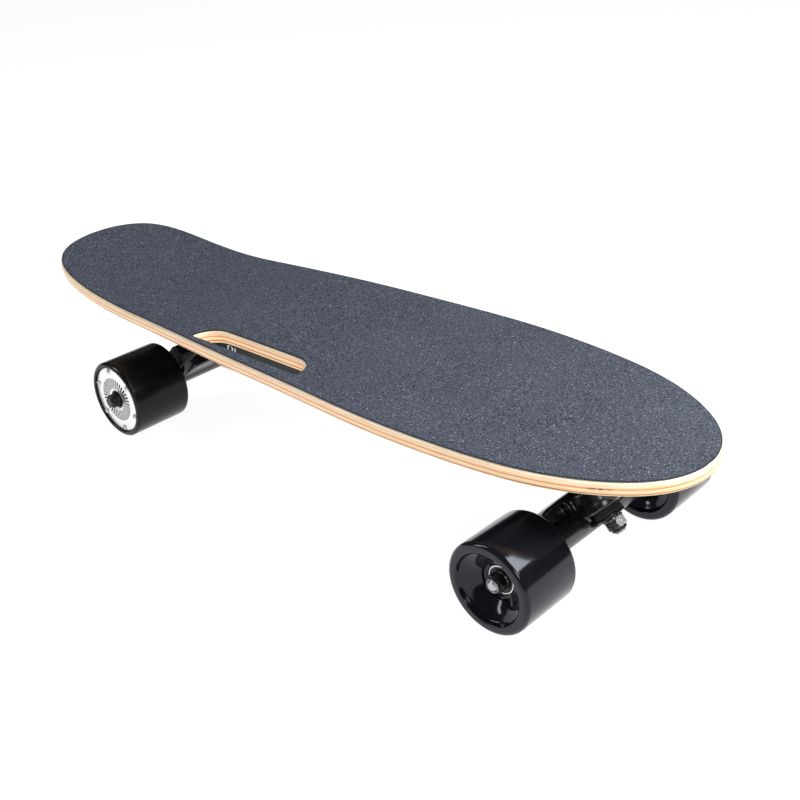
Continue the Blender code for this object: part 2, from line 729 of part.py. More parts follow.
def wheel_upper(radius):
    """Profile of one half of a wheel from the bore out to the tread, as (r, z)."""
    half = WHEEL_WIDTH / 2
    face = SPACER_WIDTH / 2 + BEARING_WIDTH
    shelf = SPACER_WIDTH / 2 - GAP
    seat = BEARING_RADIUS + 0.0002
    return [(0.0082, shelf), (seat, shelf), (seat, face + 0.0004), (0.0138, face + 0.0030),
            (0.0260, half - 0.0034), (0.0276, half), (radius - 0.0040, half),
            (radius - 0.0012, half - 0.0018), (radius, half - 0.0062)]


def build_bearing(name, bore, outer, width):
    """A sealed ball bearing as one closed ring."""
    return ring(name, "steel", bore, outer, -width / 2, width / 2, 18)


# ---------------------------------------------------------------- hub motor

def build_motor(truck, sign):
    """Hub motor wheel: tyre, rotor can, vented cover, stator and outer bearing."""
    turn = TO_LEFT if sign > 0 else TO_RIGHT
    half = HUB_WIDTH / 2
    place = (0, sign * HUB_OFFSET, 0)
    radius = HUB_RADIUS
    bore = HUB_CAN_RADIUS + GAP
    tyre_profile = [(bore, -half), (0.0336, -half), (0.0352, -half + 0.0016),
                    (radius, -half + 0.0050), (radius, half - 0.0050), (0.0352, half - 0.0016),
                    (0.0336, half), (bore, half)]
    tyre = turned("motor_tyre", "urethane", tyre_profile, 32)
    hang(carry(tyre, turn), truck, place)
    wall = HUB_CAN_RADIUS - 0.0035
    cover_face = half - 0.0016
    can_profile = [(0.0086, -half + 0.0012), (HUB_CAN_RADIUS, -half + 0.0012),
                   (HUB_CAN_RADIUS, cover_face - 0.0030 - GAP), (wall, cover_face - 0.0030 - GAP),
                   (wall, -half + 0.0050), (0.0086, -half + 0.0050)]
    can = turned("motor_can", "alloy", can_profile, 32)
    hang(carry(can, turn), truck, place)
    cover = ring("motor_cover", "cover", 0.0084, HUB_CAN_RADIUS - 0.0002, cover_face - 0.0030,
                 cover_face, 32)
    cut(cover, vent_cutters(cover_face))
    hang(carry(smooth(cover), turn), truck, place)
    bearing = build_bearing("motor_bearing", 0.0055, 0.0110, 0.0060)
    carry(bearing, turn @ Matrix.Translation((0, 0, cover_face - 0.0030 - 0.0034)))
    hang(bearing, truck, place)
    build_stator(truck, turn, place, half)


def vent_cutters(face):
    """Radial slots between the screw circle and the hub of the cover."""
    points = []
    faces = []
    for i in range(VENT_COUNT):
        turn = 2 * math.pi * i / VENT_COUNT
        along = Vector((math.cos(turn), math.sin(turn), 0))
        across = Vector((-math.sin(turn), math.cos(turn), 0))
        base = len(points)
        for z in (face - 0.006, face + 0.003):
            for r, w in ((0.0115, -0.00045), (0.0210, -0.00085), (0.0210, 0.00085),
                         (0.0115, 0.00045)):
                points.append(along * r + across * w + Vector((0, 0, z)))
        faces.append((base + 3, base + 2, base + 1, base))
        faces.append((base + 4, base + 5, base + 6, base + 7))
        for k in range(4):
            n = (k + 1) % 4
            faces.append((base + k, base + n, base + 4 + n, base + 4 + k))
    return new_object("vent_tool", mesh_from("vent_tool", points, faces), None)


def build_stator(truck, turn, place, half):
    """Laminated stator with twelve teeth, fixed on the axle."""
    teeth = 12
    outline = []
    for i in range(teeth):
        middle = 2 * math.pi * i / teeth
        for offset, radius in ((-0.19, 0.0145), (-0.10, 0.0150), (-0.10, 0.0225), (-0.20, 0.0235),
                               (-0.19, 0.0262), (0.19, 0.0262), (0.20, 0.0235), (0.10, 0.0225),
                               (0.10, 0.0150)):
            outline.append((radius * math.cos(middle + offset), radius * math.sin(middle + offset)))
    stator = prism("motor_stator", "copper", outline, -0.0150, 0.0130)
    cut(stator, rod("bore_tool", None, 0.0055, -0.05, 0.05, 16))
    hang(carry(smooth(stator), turn), truck, place)


# ---------------------------------------------------------------- underside box

def follow_deck(x, drop):
    return deck_bottom(x) - drop


def box_shell(name, look, inset, low, drop):
    """A tub outline whose top follows the underside of the deck."""
    outline = rounded_rectangle(BOX_X[0] + inset, BOX_X[1] - inset, -BOX_HALF_WIDTH + inset,
                                BOX_HALF_WIDTH - inset, BOX_CORNER - inset, 4)
    piece = prism(name, look, outline, low, 0.13)
    trim_sections = []
    for i in range(15):
        x = BOX_X[0] - 0.01 + (BOX_X[1] - BOX_X[0] + 0.02) * i / 14
        base = follow_deck(x, drop)
        trim_sections.append([(x, -0.08, base), (x, 0.08, base), (x, 0.08, 0.15), (x, -0.08, 0.15)])
    trim = loft("trim_tool", None, trim_sections)
    return cut(piece, trim)


def build_box():
    """Electronics enclosure, its gasket, and what it holds."""
    drop = GAP + GASKET_THICKNESS + GAP
    box = box_shell("electronics_enclosure", "plastic", 0.0, BOX_FLOOR_Z, drop)
    chamfer_floor(box)
    hollow = prism("hollow_tool", None, rounded_rectangle(
        BOX_X[0] + BOX_WALL, BOX_X[1] - BOX_WALL, -BOX_HALF_WIDTH + BOX_WALL,
        BOX_HALF_WIDTH - BOX_WALL, BOX_CORNER - BOX_WALL, 4), BOX_FLOOR_Z + BOX_WALL, 0.14)
    cut(box, hollow)
    for x, radius in ((PORT_X, 0.0036), (BUTTON_X, 0.0056)):
        hole = carry(rod("hole_tool", None, radius, -0.01, 0.01, 16), TO_RIGHT)
        carry(hole, Matrix.Translation((x, -BOX_HALF_WIDTH, PANEL_Z - 0.0005)))
        cut(box, hole)
    cable = carry(rod("hole_tool", None, 0.0036, -0.01, 0.01, 12),
                  Matrix.Rotation(math.radians(90), 4, "Y"))
    cut(box, carry(cable, Matrix.Translation((BOX_X[0], CABLE_Y, CABLE_Z))))
    smooth(box)
    gasket = box_shell("enclosure_gasket", "rubber", 0.0002, 0.09, GAP)
    under = box_shell("under_tool", None, -0.004, 0.08, GAP + GASKET_THICKNESS)
    cut(gasket, under)
    cut(gasket, prism("hollow_tool", None, rounded_rectangle(
        BOX_X[0] + BOX_WALL, BOX_X[1] - BOX_WALL, -BOX_HALF_WIDTH + BOX_WALL,
        BOX_HALF_WIDTH - BOX_WALL, BOX_CORNER - BOX_WALL, 4), 0.07, 0.14))
    smooth(gasket)
    build_battery()
    build_controller()
    build_panel()


def chamfer_floor(box):
    """Soften the lower rim of the tub."""
    build = bmesh.new()
    build.from_mesh(box.data)
    rim = [e for e in build.edges if all(abs(v.co.z - BOX_FLOOR_Z) < 1e-6 for v in e.verts)
           and len(e.link_faces) == 2
           and any(abs(f.normal.z) < 0.5 for f in e.link_faces)]
    bmesh.ops.bevel(build, geom=rim, offset=0.0022, segments=2, affect="EDGES", profile=0.5)
    build.to_mesh(box.data)
    build.free()


def build_battery():
    """Ten round cells in a shrink wrap, lying across the board."""
    radius = 0.0093
    start = 0.030
    floor = BOX_FLOOR_Z + BOX_WALL + GAP
    pack = block("battery_pack", "wrap", (start - 0.0002, -0.0325, floor + 0.004),
                 (start + 0.0186 * 7, 0.0325, floor + 0.0150), 0.0)
    for i in range(7):
        cell = carry(rod("cell_tool", None, radius, -0.0330, 0.0330, 14), TO_LEFT)
        x = start + 0.0093 + 0.0186 * i
        join(pack, carry(cell, Matrix.Translation((x, 0, floor + radius))))
    smooth(pack)


def build_controller():
    """Motor controller board with its heat sink and capacitors."""
    floor = BOX_FLOOR_Z + BOX_WALL + GAP
    board = block("motor_controller", "board", (-0.105, -0.034, floor + 0.003),
                  (0.010, 0.034, floor + 0.0048))
    sink = block("sink_tool", None, (-0.090, -0.020, floor), (-0.030, 0.020, floor + 0.0040))
    join(board, sink)
    for y in (-0.018, 0.0, 0.018):
        can = carry(rod("cap_tool", None, 0.0055, floor + 0.0040, floor + 0.0180, 12),
                    Matrix.Translation((-0.010, y, 0)))
        join(board, can)
    smooth(board)


def build_panel():
    """Charging socket and power button in the right wall of the box."""
    wall = BOX_HALF_WIDTH
    z = PANEL_Z - 0.0005
    port = turned("charging_port", "steel", [
        (0.0017, -0.006), (0.0033, -0.006), (0.0033, -GAP - 0.0002), (0.0033, 0.0004),
        (0.0028, 0.0007), (0.0024, 0.0004), (0.0024, -0.003), (0.0017, -0.003)], 20)
    carry(port, TO_RIGHT)
    hang(port, None, (PORT_X, -wall, z))
    button = turned("power_button", "plastic", [
        (0.0, -0.0060), (0.0050, -0.0060), (0.0050, 0.0010), (0.0043, 0.0016), (0.0, 0.0016)], 20)
    carry(button, TO_RIGHT)
    hang(button, None, (BUTTON_X, -wall, z))


CABLE_Y = -0.0200
CABLE_Z = 0.0900


def build_motor_cable():
    """Flexible lead from the box to the hollow end of the rear axle, beside the motor."""
    route = [(BOX_X[0] - 0.0006, CABLE_Y, CABLE_Z), (-0.136, -0.0225, 0.0875),
             (-0.150, -0.0310, 0.0770), (-0.165, -0.0380, 0.0640), (-0.179, -0.0400, 0.0530),
             (-0.1913, -0.0403, 0.0427)]
    curve = bpy.data.curves.new("motor_cable", "CURVE")
    curve.dimensions = "3D"
    curve.bevel_depth = 0.0026
    curve.bevel_resolution = 2
    curve.use_fill_caps = True
    spline = curve.splines.new("POLY")
    points = smooth_route(route, 22)
    spline.points.add(len(points) - 1)
    for place, point in zip(points, spline.points):
        point.co = (*place, 1.0)
    cable = bpy.data.objects.new("motor_cable", curve)
    bpy.context.scene.collection.objects.link(cable)
    curve.materials.append(finish("cable"))


def smooth_route(route, count):
    """Even points on a Catmull-Rom curve through the route."""
    places = [Vector(p) for p in route]
    padded = [places[0] * 2 - places[1]] + places + [places[-1] * 2 - places[-2]]
    result = []
    for i in range(count):
        place = i / (count - 1) * (len(places) - 1)
        k = min(int(place), len(places) - 2)
        t = place - k
        a, b, c, d = padded[k:k + 4]
        result.append(0.5 * (2 * b + (c - a) * t + (2 * a - 5 * b + 4 * c - d) * t ** 2
                             + (3 * b - a - 3 * c + d) * t ** 3))
    return result


# ---------------------------------------------------------------- assembly

def build_truck(end, axle_x, side, axle_z, motor):
    """One truck. In its own frame +X points to its end of the board."""
    truck = frame(f"{end}_truck_frame")
    truck.matrix_world = truck_matrix(axle_x, side, axle_z)
    steer = frame(f"{end}_steering_axis", truck, (RING_X, 0, RING_Z), (0, -KINGPIN_ANGLE, 0))
    build_riser(end, axle_x, side, axle_z, truck)
    build_baseplate(f"{end}_baseplate", truck)
    ends = (HANGER_END, MOTOR_HANGER_END if motor else HANGER_END)
    wings = (WING_END, MOTOR_WING_END if motor else WING_END)
    build_hanger(f"{end}_hanger", steer, ends, wings)
    build_kingpin_stack(end, steer)
    build_pivot_cup(f"{end}_pivot_cup", steer)
    build_truck_bolts(end, axle_x, side, axle_z, truck)
    tips = (AXLE_TIP, HUB_OFFSET + HUB_WIDTH / 2 + 0.0065 if motor else AXLE_TIP)
    build_axle(f"{end}_axle", truck, tips, motor)
    nut_start = WHEEL_OFFSET + SPACER_WIDTH / 2 + BEARING_WIDTH + 0.0008
    for sign in (-1, 1):
        world_left = sign * side > 0
        name = f"{end}_{'left' if world_left else 'right'}"
        if motor and sign > 0:
            build_motor(truck, sign)
            build_axle_nut("motor_axle_nut", truck, HUB_OFFSET + HUB_WIDTH / 2 - 0.0040, sign,
                           0.0052)
        else:
            build_wheel(name, truck, sign, axle_z)
            build_axle_nut(f"{name}_axle_nut", truck, nut_start, sign, AXLE_RADIUS)


def main():
    clear_scene()
    build_deck()
    build_truck("front", FRONT_AXLE_X, 1, WHEEL_RADIUS, False)
    build_truck("rear", REAR_AXLE_X, -1, HUB_RADIUS, True)
    build_box()
    build_motor_cable()


main()
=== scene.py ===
"""Electric skateboard, finished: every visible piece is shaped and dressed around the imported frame.

Metres. +X points to the wide nose, +Y to the left, +Z up, and the origin lies on the ground
under the middle of the board.
"""
import json
import logging
import math
from dataclasses import dataclass
from enum import Enum
from typing import Callable, Optional, Sequence

import bmesh
import bpy
from mathutils import Matrix, Vector


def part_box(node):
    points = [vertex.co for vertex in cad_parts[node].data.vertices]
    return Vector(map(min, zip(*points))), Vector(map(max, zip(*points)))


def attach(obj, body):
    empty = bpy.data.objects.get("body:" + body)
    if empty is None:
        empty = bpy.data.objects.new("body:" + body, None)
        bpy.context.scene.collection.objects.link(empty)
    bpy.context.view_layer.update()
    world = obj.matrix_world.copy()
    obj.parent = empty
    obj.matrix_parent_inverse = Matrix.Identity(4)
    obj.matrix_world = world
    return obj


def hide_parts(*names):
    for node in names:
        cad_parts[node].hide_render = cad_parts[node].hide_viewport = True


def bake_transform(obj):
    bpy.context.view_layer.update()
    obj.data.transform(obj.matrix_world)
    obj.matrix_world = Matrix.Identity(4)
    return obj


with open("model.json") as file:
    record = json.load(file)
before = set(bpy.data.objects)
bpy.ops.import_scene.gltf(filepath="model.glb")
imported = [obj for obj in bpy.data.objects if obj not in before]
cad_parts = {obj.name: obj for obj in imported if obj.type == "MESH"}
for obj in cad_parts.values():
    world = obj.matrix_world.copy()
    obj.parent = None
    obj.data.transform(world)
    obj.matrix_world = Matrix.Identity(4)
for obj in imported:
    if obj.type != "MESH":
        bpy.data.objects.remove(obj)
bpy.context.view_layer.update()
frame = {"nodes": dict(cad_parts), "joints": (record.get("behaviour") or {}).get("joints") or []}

LOG = logging.getLogger("skateboard")

Place = tuple[float, float, float]
Colour = tuple[float, float, float]
Height = Callable[[float], float]
Level = tuple[float, Height]
Piece = bpy.types.Object

GAP = 0.0003
UP_TO_LEFT = Matrix.Rotation(math.radians(-90), 4, "X")
UP_TO_RIGHT = Matrix.Rotation(math.radians(90), 4, "X")
UP_TO_FRONT = Matrix.Rotation(math.radians(90), 4, "Y")
OVER = Matrix.Rotation(math.pi, 4, "X")


class End(Enum):
    """The two ends of the board, each with one truck."""

    FRONT = "front"
    REAR = "rear"


class Hand(Enum):
    """The two sides of the board, with the sign of Y on that side."""

    LEFT = 1
    RIGHT = -1

    @property
    def word(self) -> str:
        """The side as it stands in a piece's name."""
        return self.name.lower()

    @property
    def turn(self) -> Matrix:
        """Turns a shape made along +Z outwards to this side."""
        return UP_TO_LEFT if self is Hand.LEFT else UP_TO_RIGHT


# ------------------------------------------------------------------ finishes


class Wiring:
    """A material's node tree, with short ways to add and join nodes."""

    def __init__(self, name: str) -> None:
        """Start a material with one Principled shader.

        Args:
            name: The material's name.
        """
        self.material = bpy.data.materials.new(name)
        self.material.use_nodes = True
        self.tree = self.material.node_tree
        self.shader = self.tree.nodes["Principled BSDF"]
        self.spot = self.add("ShaderNodeTexCoord").outputs["Object"]

    def add(self, kind: str, inputs: Optional[dict] = None, **settings) -> bpy.types.Node:
        """Add a node.

        Args:
            kind: Blender's name of the node type.
            inputs: Values or output sockets by input name or number.
            **settings: Attributes of the node itself.

        Returns:
            The node.
        """
        node = self.tree.nodes.new(kind)
        for key, value in settings.items():
            setattr(node, key, value)
        for key, value in (inputs or {}).items():
            self.join(value, node.inputs[key])
        return node

    def join(self, value: object, socket: bpy.types.NodeSocket) -> None:
        """Link an output to a socket, or set the socket's own value.

        Args:
            value: An output socket, or a plain value.
            socket: The input that takes it.
        """
        if isinstance(value, bpy.types.NodeSocket):
            self.tree.links.new(value, socket)
        else:
            socket.default_value = value

    def set(self, **values) -> None:
        """Set shader inputs, named with underscores for spaces."""
        for key, value in values.items():
            self.join(value, self.shader.inputs[key.replace("_", " ")])

    def noise(self, size: float, detail: float = 3.0, stretch: Place = (1, 1, 1),
              roughness: float = 0.55) -> bpy.types.NodeSocket:
        """Noise with features of about the given size in metres, longer where stretch is over 1.

        Args:
            size: Size of the features in metres.
            detail: How many finer layers it has.
            stretch: How much longer the features are along each axis.
            roughness: How strong the finer layers are.

        Returns:
            The noise, from 0 to 1.
        """
        spot = self.add("ShaderNodeMapping", {"Vector": self.spot,
                                              "Scale": tuple(1.0 / s for s in stretch)})
        made = self.add("ShaderNodeTexNoise", {"Vector": spot.outputs[0], "Scale": 1.0 / size,
                                               "Detail": detail, "Roughness": roughness})
        return made.outputs["Fac"]

    def spread(self, value: bpy.types.NodeSocket, low: float, high: float, to_low: float,
               to_high: float) -> bpy.types.NodeSocket:
        """Map a value from one range to another, held at its ends."""
        made = self.add("ShaderNodeMapRange", {"Value": value, "From Min": low, "From Max": high,
                                               "To Min": to_low, "To Max": to_high})
        return made.outputs["Result"]

    def maths(self, operation: str, first: object, second: object = 0.0) -> bpy.types.NodeSocket:
        """One arithmetic step."""
        made = self.add("ShaderNodeMath", {0: first, 1: second}, operation=operation)
        return made.outputs[0]

    def blend(self, share: object, first: object, second: object,
              way: str = "MIX") -> bpy.types.NodeSocket:
        """Mix two colours.

        Args:
            share: How much of the second colour shows.
            first: The first colour.
            second: The second colour.
            way: Blender's name of the way to mix.

        Returns:
            The mixed colour.
        """
        made = self.add("ShaderNodeMix", data_type="RGBA", blend_type=way)
        for index, value in ((0, share), (6, first), (7, second)):
            if isinstance(value, tuple) and len(value) == 3:
                value = (*value, 1.0)
            self.join(value, made.inputs[index])
        return made.outputs[2]

    def ramp(self, value: bpy.types.NodeSocket,
             stops: Sequence[tuple[float, Colour]]) -> bpy.types.NodeSocket:
        """Colours along a value.

        Args:
            value: The value to read.
            stops: The colours, each with its value.

        Returns:
            The colour.
        """
        made = self.add("ShaderNodeValToRGB", {"Fac": value})
        ramp = made.color_ramp
        while len(ramp.elements) < len(stops):
            ramp.elements.new(0.5)
        for element, (position, colour) in zip(ramp.elements, sorted(stops)):
            element.position = position
            element.color = (*colour, 1.0)
        return made.outputs["Color"]

    def bump(self, height: bpy.types.NodeSocket, depth: float) -> bpy.types.NodeSocket:
        """A relief of the given depth in metres."""
        inputs = {"Height": height, "Distance": depth, "Strength": 1.0}
        return self.add("ShaderNodeBump", inputs).outputs["Normal"]


def from_hex(code: str) -> Colour:
    """A linear colour from its six-digit screen code."""
    parts = [int(code[i:i + 2], 16) / 255.0 for i in (0, 2, 4)]
    return tuple(p / 12.92 if p <= 0.04045 else ((p + 0.055) / 1.055) ** 2.4 for p in parts)


@dataclass(frozen=True)
class Finish:
    """A plain surface with a drifting colour, uneven gloss and a fine relief.

    Sizes of patterns and reliefs are in metres.
    """

    name: str
    colour: Colour
    roughness: float
    metallic: float = 0.0
    specular: float = 0.5
    tint: Colour = (1.0, 1.0, 1.0)
    coat: float = 0.0
    coat_roughness: float = 0.06
    drift: float = 0.18
    drift_size: float = 0.014
    rub: float = 0.10
    rub_size: float = 0.004
    stretch: Place = (1.0, 1.0, 1.0)
    grain_size: float = 0.0006
    grain_depth: float = 0.00002

    def material(self) -> bpy.types.Material:
        """The finish as a material, made once.

        Returns:
            The material.
        """
        made = bpy.data.materials.get(self.name)
        if made is None:
            wire = Wiring(self.name)
            self.paint(wire)
            made = wire.material
        return made

    def toned(self, factor: float) -> Colour:
        """The finish's colour, lightened or darkened by a factor."""
        return tuple(min(1.0, c * factor) for c in self.colour)

    def paint(self, wire: Wiring) -> None:
        """Wire the material's nodes.

        Args:
            wire: The new material's node tree.
        """
        share = wire.spread(wire.noise(self.drift_size, 4.0, self.stretch), 0.3, 0.7, 0.0, 1.0)
        rubbed = wire.spread(wire.noise(self.rub_size, 3.0, self.stretch), 0.3, 0.7,
                             max(0.02, self.roughness - self.rub), min(1.0, self.roughness + self.rub))
        relief = wire.bump(wire.noise(self.grain_size, 2.0, self.stretch), self.grain_depth)
        colour = wire.blend(share, self.toned(1.0 - self.drift), self.toned(1.0 + self.drift))
        wire.set(Base_Color=colour, Roughness=rubbed, Metallic=self.metallic, Normal=relief,
                 Specular_IOR_Level=self.specular,
                 Specular_Tint=(*self.tint, 1.0), Coat_Weight=self.coat,
                 Coat_Roughness=self.coat_roughness)


@dataclass(frozen=True)
class GritFinish(Finish):
    """Silicon carbide grit on a dark sheet: grains, gaps and a few bright facets, painted near-white as
    glints of light.
    """

    grain: float = 0.00065
    glint_size: float = 0.0013

    def paint(self, wire: Wiring) -> None:
        """Wire the material's nodes.

        Args:
            wire: The new material's node tree.
        """
        cells = wire.add("ShaderNodeTexVoronoi", {"Vector": wire.spot, "Scale": 1.0 / self.grain})
        tone = wire.add("ShaderNodeSeparateColor", {"Color": cells.outputs["Color"]})
        patch = wire.spread(wire.noise(0.0015, 2.0), 0.32, 0.68, 0.0, 1.0)
        level = wire.maths("ADD", wire.maths("MULTIPLY", tone.outputs[0], 0.50),
                           wire.maths("MULTIPLY", patch, 0.50))
        light = self.toned(2.5)
        body = wire.blend(wire.spread(level, 0.15, 0.85, 0.0, 1.0), self.toned(0.10), light)
        # Painted highlight: a few grains are picked and coloured near-white as glints of light caught by
        # their facets.
        glints = wire.add("ShaderNodeTexVoronoi", {"Vector": wire.spot,
                                                   "Scale": 1.0 / self.glint_size})
        pick = wire.add("ShaderNodeSeparateColor", {"Color": glints.outputs["Color"]})
        near = wire.spread(glints.outputs["Distance"], 0.16, 0.30, 1.0, 0.0)
        chosen = wire.spread(pick.outputs[1], 0.85, 0.97, 0.0, 1.0)
        painted_glint = wire.maths("MULTIPLY", near, chosen)
        worn = wire.spread(wire.noise(0.09, 4.0), 0.35, 0.7, 0.0, 0.16)
        body = wire.blend(worn, body, light)
        body = wire.blend(painted_glint, body, from_hex("dfe6f2"))
        height = wire.maths("ADD", wire.maths("MULTIPLY", cells.outputs["Distance"], -0.7), patch)
        wire.set(Base_Color=body, Roughness=wire.spread(painted_glint, 0.0, 1.0, self.roughness, 0.35),
                 Normal=wire.bump(height, self.grain_depth), Specular_IOR_Level=self.specular)


@dataclass(frozen=True)
class PlyFinish(Finish):
    """The cut edge of the laminated deck: veneers, glue lines and a few open knots.

    It reads the attribute "ply", which runs from 0 at the upper face to 1 at the lower one.
    """

    veneers: tuple[tuple[float, str], ...] = (
        (0.00, "fff6d6"), (0.12, "fff0d0"), (0.15, "f8cfa0"), (0.18, "fde4c6"), (0.32, "fbe0bc"),
        (0.38, "f7cd9c"), (0.43, "e98a48"), (0.47, "e79452"), (0.50, "fbe2ba"), (0.60, "fce6bc"),
        (0.66, "f6cf9c"), (0.71, "f9dcae"), (0.765, "c9733a"), (0.80, "9a4a22"), (0.825, "c98a50"),
        (0.85, "f6dcae"), (0.94, "f3d29c"), (1.00, "d8a260"))
    flaw: Place = (0.3105, -0.0680, 0.1100)
    flaw_reach: float = 0.011
    flaw_depth: float = 0.455

    def paint(self, wire: Wiring) -> None:
        """Wire the material's nodes.

        Args:
            wire: The new material's node tree.
        """
        depth = wire.add("ShaderNodeAttribute", attribute_name="ply").outputs["Fac"]
        wander = wire.spread(wire.noise(0.030, 2.0, (1, 1, 4)), 0.2, 0.8, -0.018, 0.018)
        wood = wire.ramp(wire.maths("ADD", depth, wander),
                         [(place, from_hex(code)) for place, code in self.veneers])
        long_grain = wire.noise(0.0026, 4.0, (9.0, 9.0, 0.35))
        wood = wire.blend(wire.spread(long_grain, 0.42, 0.70, 0.0, 0.42), wood,
                          from_hex("e7a768"), "MULTIPLY")
        pores = wire.noise(0.0011, 2.0, (1.6, 1.6, 0.5))
        wood = wire.blend(wire.spread(pores, 0.66, 0.78, 0.0, 0.55), wood, from_hex("a5622f"))
        band = wire.maths("ABSOLUTE", wire.maths("SUBTRACT", depth, self.flaw_depth))
        band = wire.spread(band, 0.035, 0.075, 1.0, 0.0)
        offset = wire.add("ShaderNodeVectorMath", {0: wire.spot, 1: self.flaw},
                          operation="DISTANCE").outputs["Value"]
        reach = wire.spread(offset, self.flaw_reach * 0.55, self.flaw_reach, 1.0, 0.0)
        specks = wire.spread(wire.noise(0.034, 3.0), 0.69, 0.73, 0.0, 0.9)
        broken = wire.spread(wire.noise(0.0022, 2.0), 0.36, 0.52, 0.0, 1.0)
        flaws = wire.maths("MULTIPLY", band, wire.maths("MAXIMUM", reach, specks))
        flaws = wire.maths("MULTIPLY", flaws, broken)
        wood = wire.blend(flaws, wood, from_hex("2c1b12"))
        relief = wire.bump(long_grain, self.grain_depth)
        wire.set(Base_Color=wood, Roughness=self.roughness, Coat_Weight=self.coat,
                 Coat_Roughness=self.coat_roughness, Normal=relief)


@dataclass(frozen=True)
class VeneerFinish(Finish):
    """A clear-sealed maple face with its grain along the board."""

    def paint(self, wire: Wiring) -> None:
        """Wire the material's nodes.

        Args:
            wire: The new material's node tree.
        """
        warp = wire.noise(0.16, 3.0, (3.0, 1.0, 1.0))
        lines = wire.add("ShaderNodeMapping", {"Vector": wire.spot, "Scale": (0.9, 26.0, 26.0)})
        bent = wire.add("ShaderNodeVectorMath", {0: lines.outputs[0], 1: warp}, operation="ADD")
        rings = wire.add("ShaderNodeTexNoise", {"Vector": bent.outputs[0], "Scale": 5.0,
                                                "Detail": 6.0, "Roughness": 0.62}).outputs["Fac"]
        fibre = wire.noise(0.0009, 3.0, (22.0, 1.0, 1.0))
        dark = (self.colour[0] * 0.74, self.colour[1] * 0.62, self.colour[2] * 0.50)
        wood = wire.blend(wire.spread(rings, 0.36, 0.66, 0.0, 1.0), self.toned(1.10), dark)
        wood = wire.blend(wire.spread(fibre, 0.55, 0.80, 0.0, 0.35), wood, dark)
        flecks = wire.noise(0.0016, 1.0, (4.0, 1.0, 1.0))
        wood = wire.blend(wire.spread(flecks, 0.70, 0.80, 0.0, 0.5), wood, from_hex("1a120e"))
        relief = wire.bump(fibre, self.grain_depth)
        wire.set(Base_Color=wood, Roughness=wire.spread(rings, 0.3, 0.7, self.roughness - 0.05,
                                                        self.roughness + 0.08),
                 Coat_Weight=self.coat, Coat_Roughness=self.coat_roughness, Normal=relief)


@dataclass(frozen=True)
class TurnedMetal(Finish):
    """Metal faced on a lathe: fine rings about an axis along Y."""

    axis: Place = (0.0, 0.0, 0.0)
    ring: float = 0.00035

    def paint(self, wire: Wiring) -> None:
        """Wire the material's nodes.

        Args:
            wire: The new material's node tree.
        """
        moved = wire.add("ShaderNodeVectorMath", {0: wire.spot, 1: self.axis}, operation="SUBTRACT")
        flat = wire.add("ShaderNodeVectorMath", {0: moved.outputs[0], 1: (1.0, 0.0, 1.0)},
                        operation="MULTIPLY")
        radius = wire.add("ShaderNodeVectorMath", {0: flat.outputs[0]}, operation="LENGTH")
        place = wire.add("ShaderNodeCombineXYZ", {"X": radius.outputs["Value"]})
        rings = wire.add("ShaderNodeTexNoise", {"Vector": place.outputs[0], "Scale": 1.0 / self.ring,
                                                "Detail": 2.0}).outputs["Fac"]
        drift = wire.spread(wire.noise(self.drift_size, 3.0), 0.3, 0.7, 0.0, 1.0)
        wire.set(Base_Color=wire.blend(drift, self.colour, self.toned(1.0 - self.drift)),
                 Roughness=wire.spread(rings, 0.3, 0.7, self.roughness - self.rub,
                                       self.roughness + self.rub),
                 Metallic=self.metallic, Normal=wire.bump(rings, self.grain_depth))


@dataclass(frozen=True)
class StripedFinish(Finish):
    """Thin parallel lines along one axis: thread turns, stacked sheets or wound wire."""

    direction: Place = (0.0, 1.0, 0.0)
    pitch: float = 0.0008

    def paint(self, wire: Wiring) -> None:
        """Wire the material's nodes.

        Args:
            wire: The new material's node tree.
        """
        along = wire.add("ShaderNodeVectorMath", {0: wire.spot, 1: self.direction},
                         operation="DOT_PRODUCT").outputs["Value"]
        turns = wire.maths("FRACT", wire.maths("DIVIDE", along, self.pitch))
        ridge = wire.maths("ABSOLUTE", wire.maths("SUBTRACT", turns, 0.5))
        darker = self.toned(0.45)
        grime = wire.noise(self.drift_size, 3.0)
        shade = wire.blend(wire.spread(ridge, 0.1, 0.45, 0.0, 1.0), self.colour, darker)
        shade = wire.blend(wire.spread(grime, 0.45, 0.75, 0.0, 0.5), shade, darker)
        wire.set(Base_Color=shade, Roughness=wire.spread(grime, 0.3, 0.7, self.roughness - 0.06,
                                                         self.roughness + 0.12),
                 Metallic=self.metallic, Normal=wire.bump(ridge, self.grain_depth))


GRIT = GritFinish("grip_grit", from_hex("3c404a"), 0.78, specular=0.25, grain_depth=0.00025)
GRIT_EDGE = Finish("grip_sheet_edge", from_hex("1d2436"), 0.75, grain_size=0.0004,
    grain_depth=0.00006, drift=0.3)
PLY_EDGE = PlyFinish("maple_plies", (1, 1, 1), 0.36, coat=0.30, coat_roughness=0.14,
    grain_depth=0.00003)
# A face much darker than bare maple; it also keeps the underside dark in the wheels' reflections.
MAPLE = VeneerFinish("stained_maple_face", from_hex("3a2d26"), 0.42, coat=0.35, coat_roughness=0.12,
    grain_depth=0.00003)
URETHANE = Finish("gloss_urethane", (0.0056, 0.0054, 0.0078), 0.12, specular=0.34, rub=0.035,
    tint=(0.80, 0.84, 1.0), rub_size=0.010, drift=0.25, coat=0.06, coat_roughness=0.05,
    grain_size=0.0045, grain_depth=0.000012)
TYRE = Finish("satin_urethane", (0.0052, 0.0045, 0.0050), 0.22, specular=0.22, rub=0.04,
    rub_size=0.010, drift=0.25, grain_size=0.0040, grain_depth=0.00002)
CASTING = Finish("black_cast_alloy", (0.0085, 0.0090, 0.0115), 0.26, specular=0.5, coat=0.2,
    coat_roughness=0.16, rub=0.06, rub_size=0.004, drift=0.25, drift_size=0.008, grain_size=0.0022,
    grain_depth=0.00004)
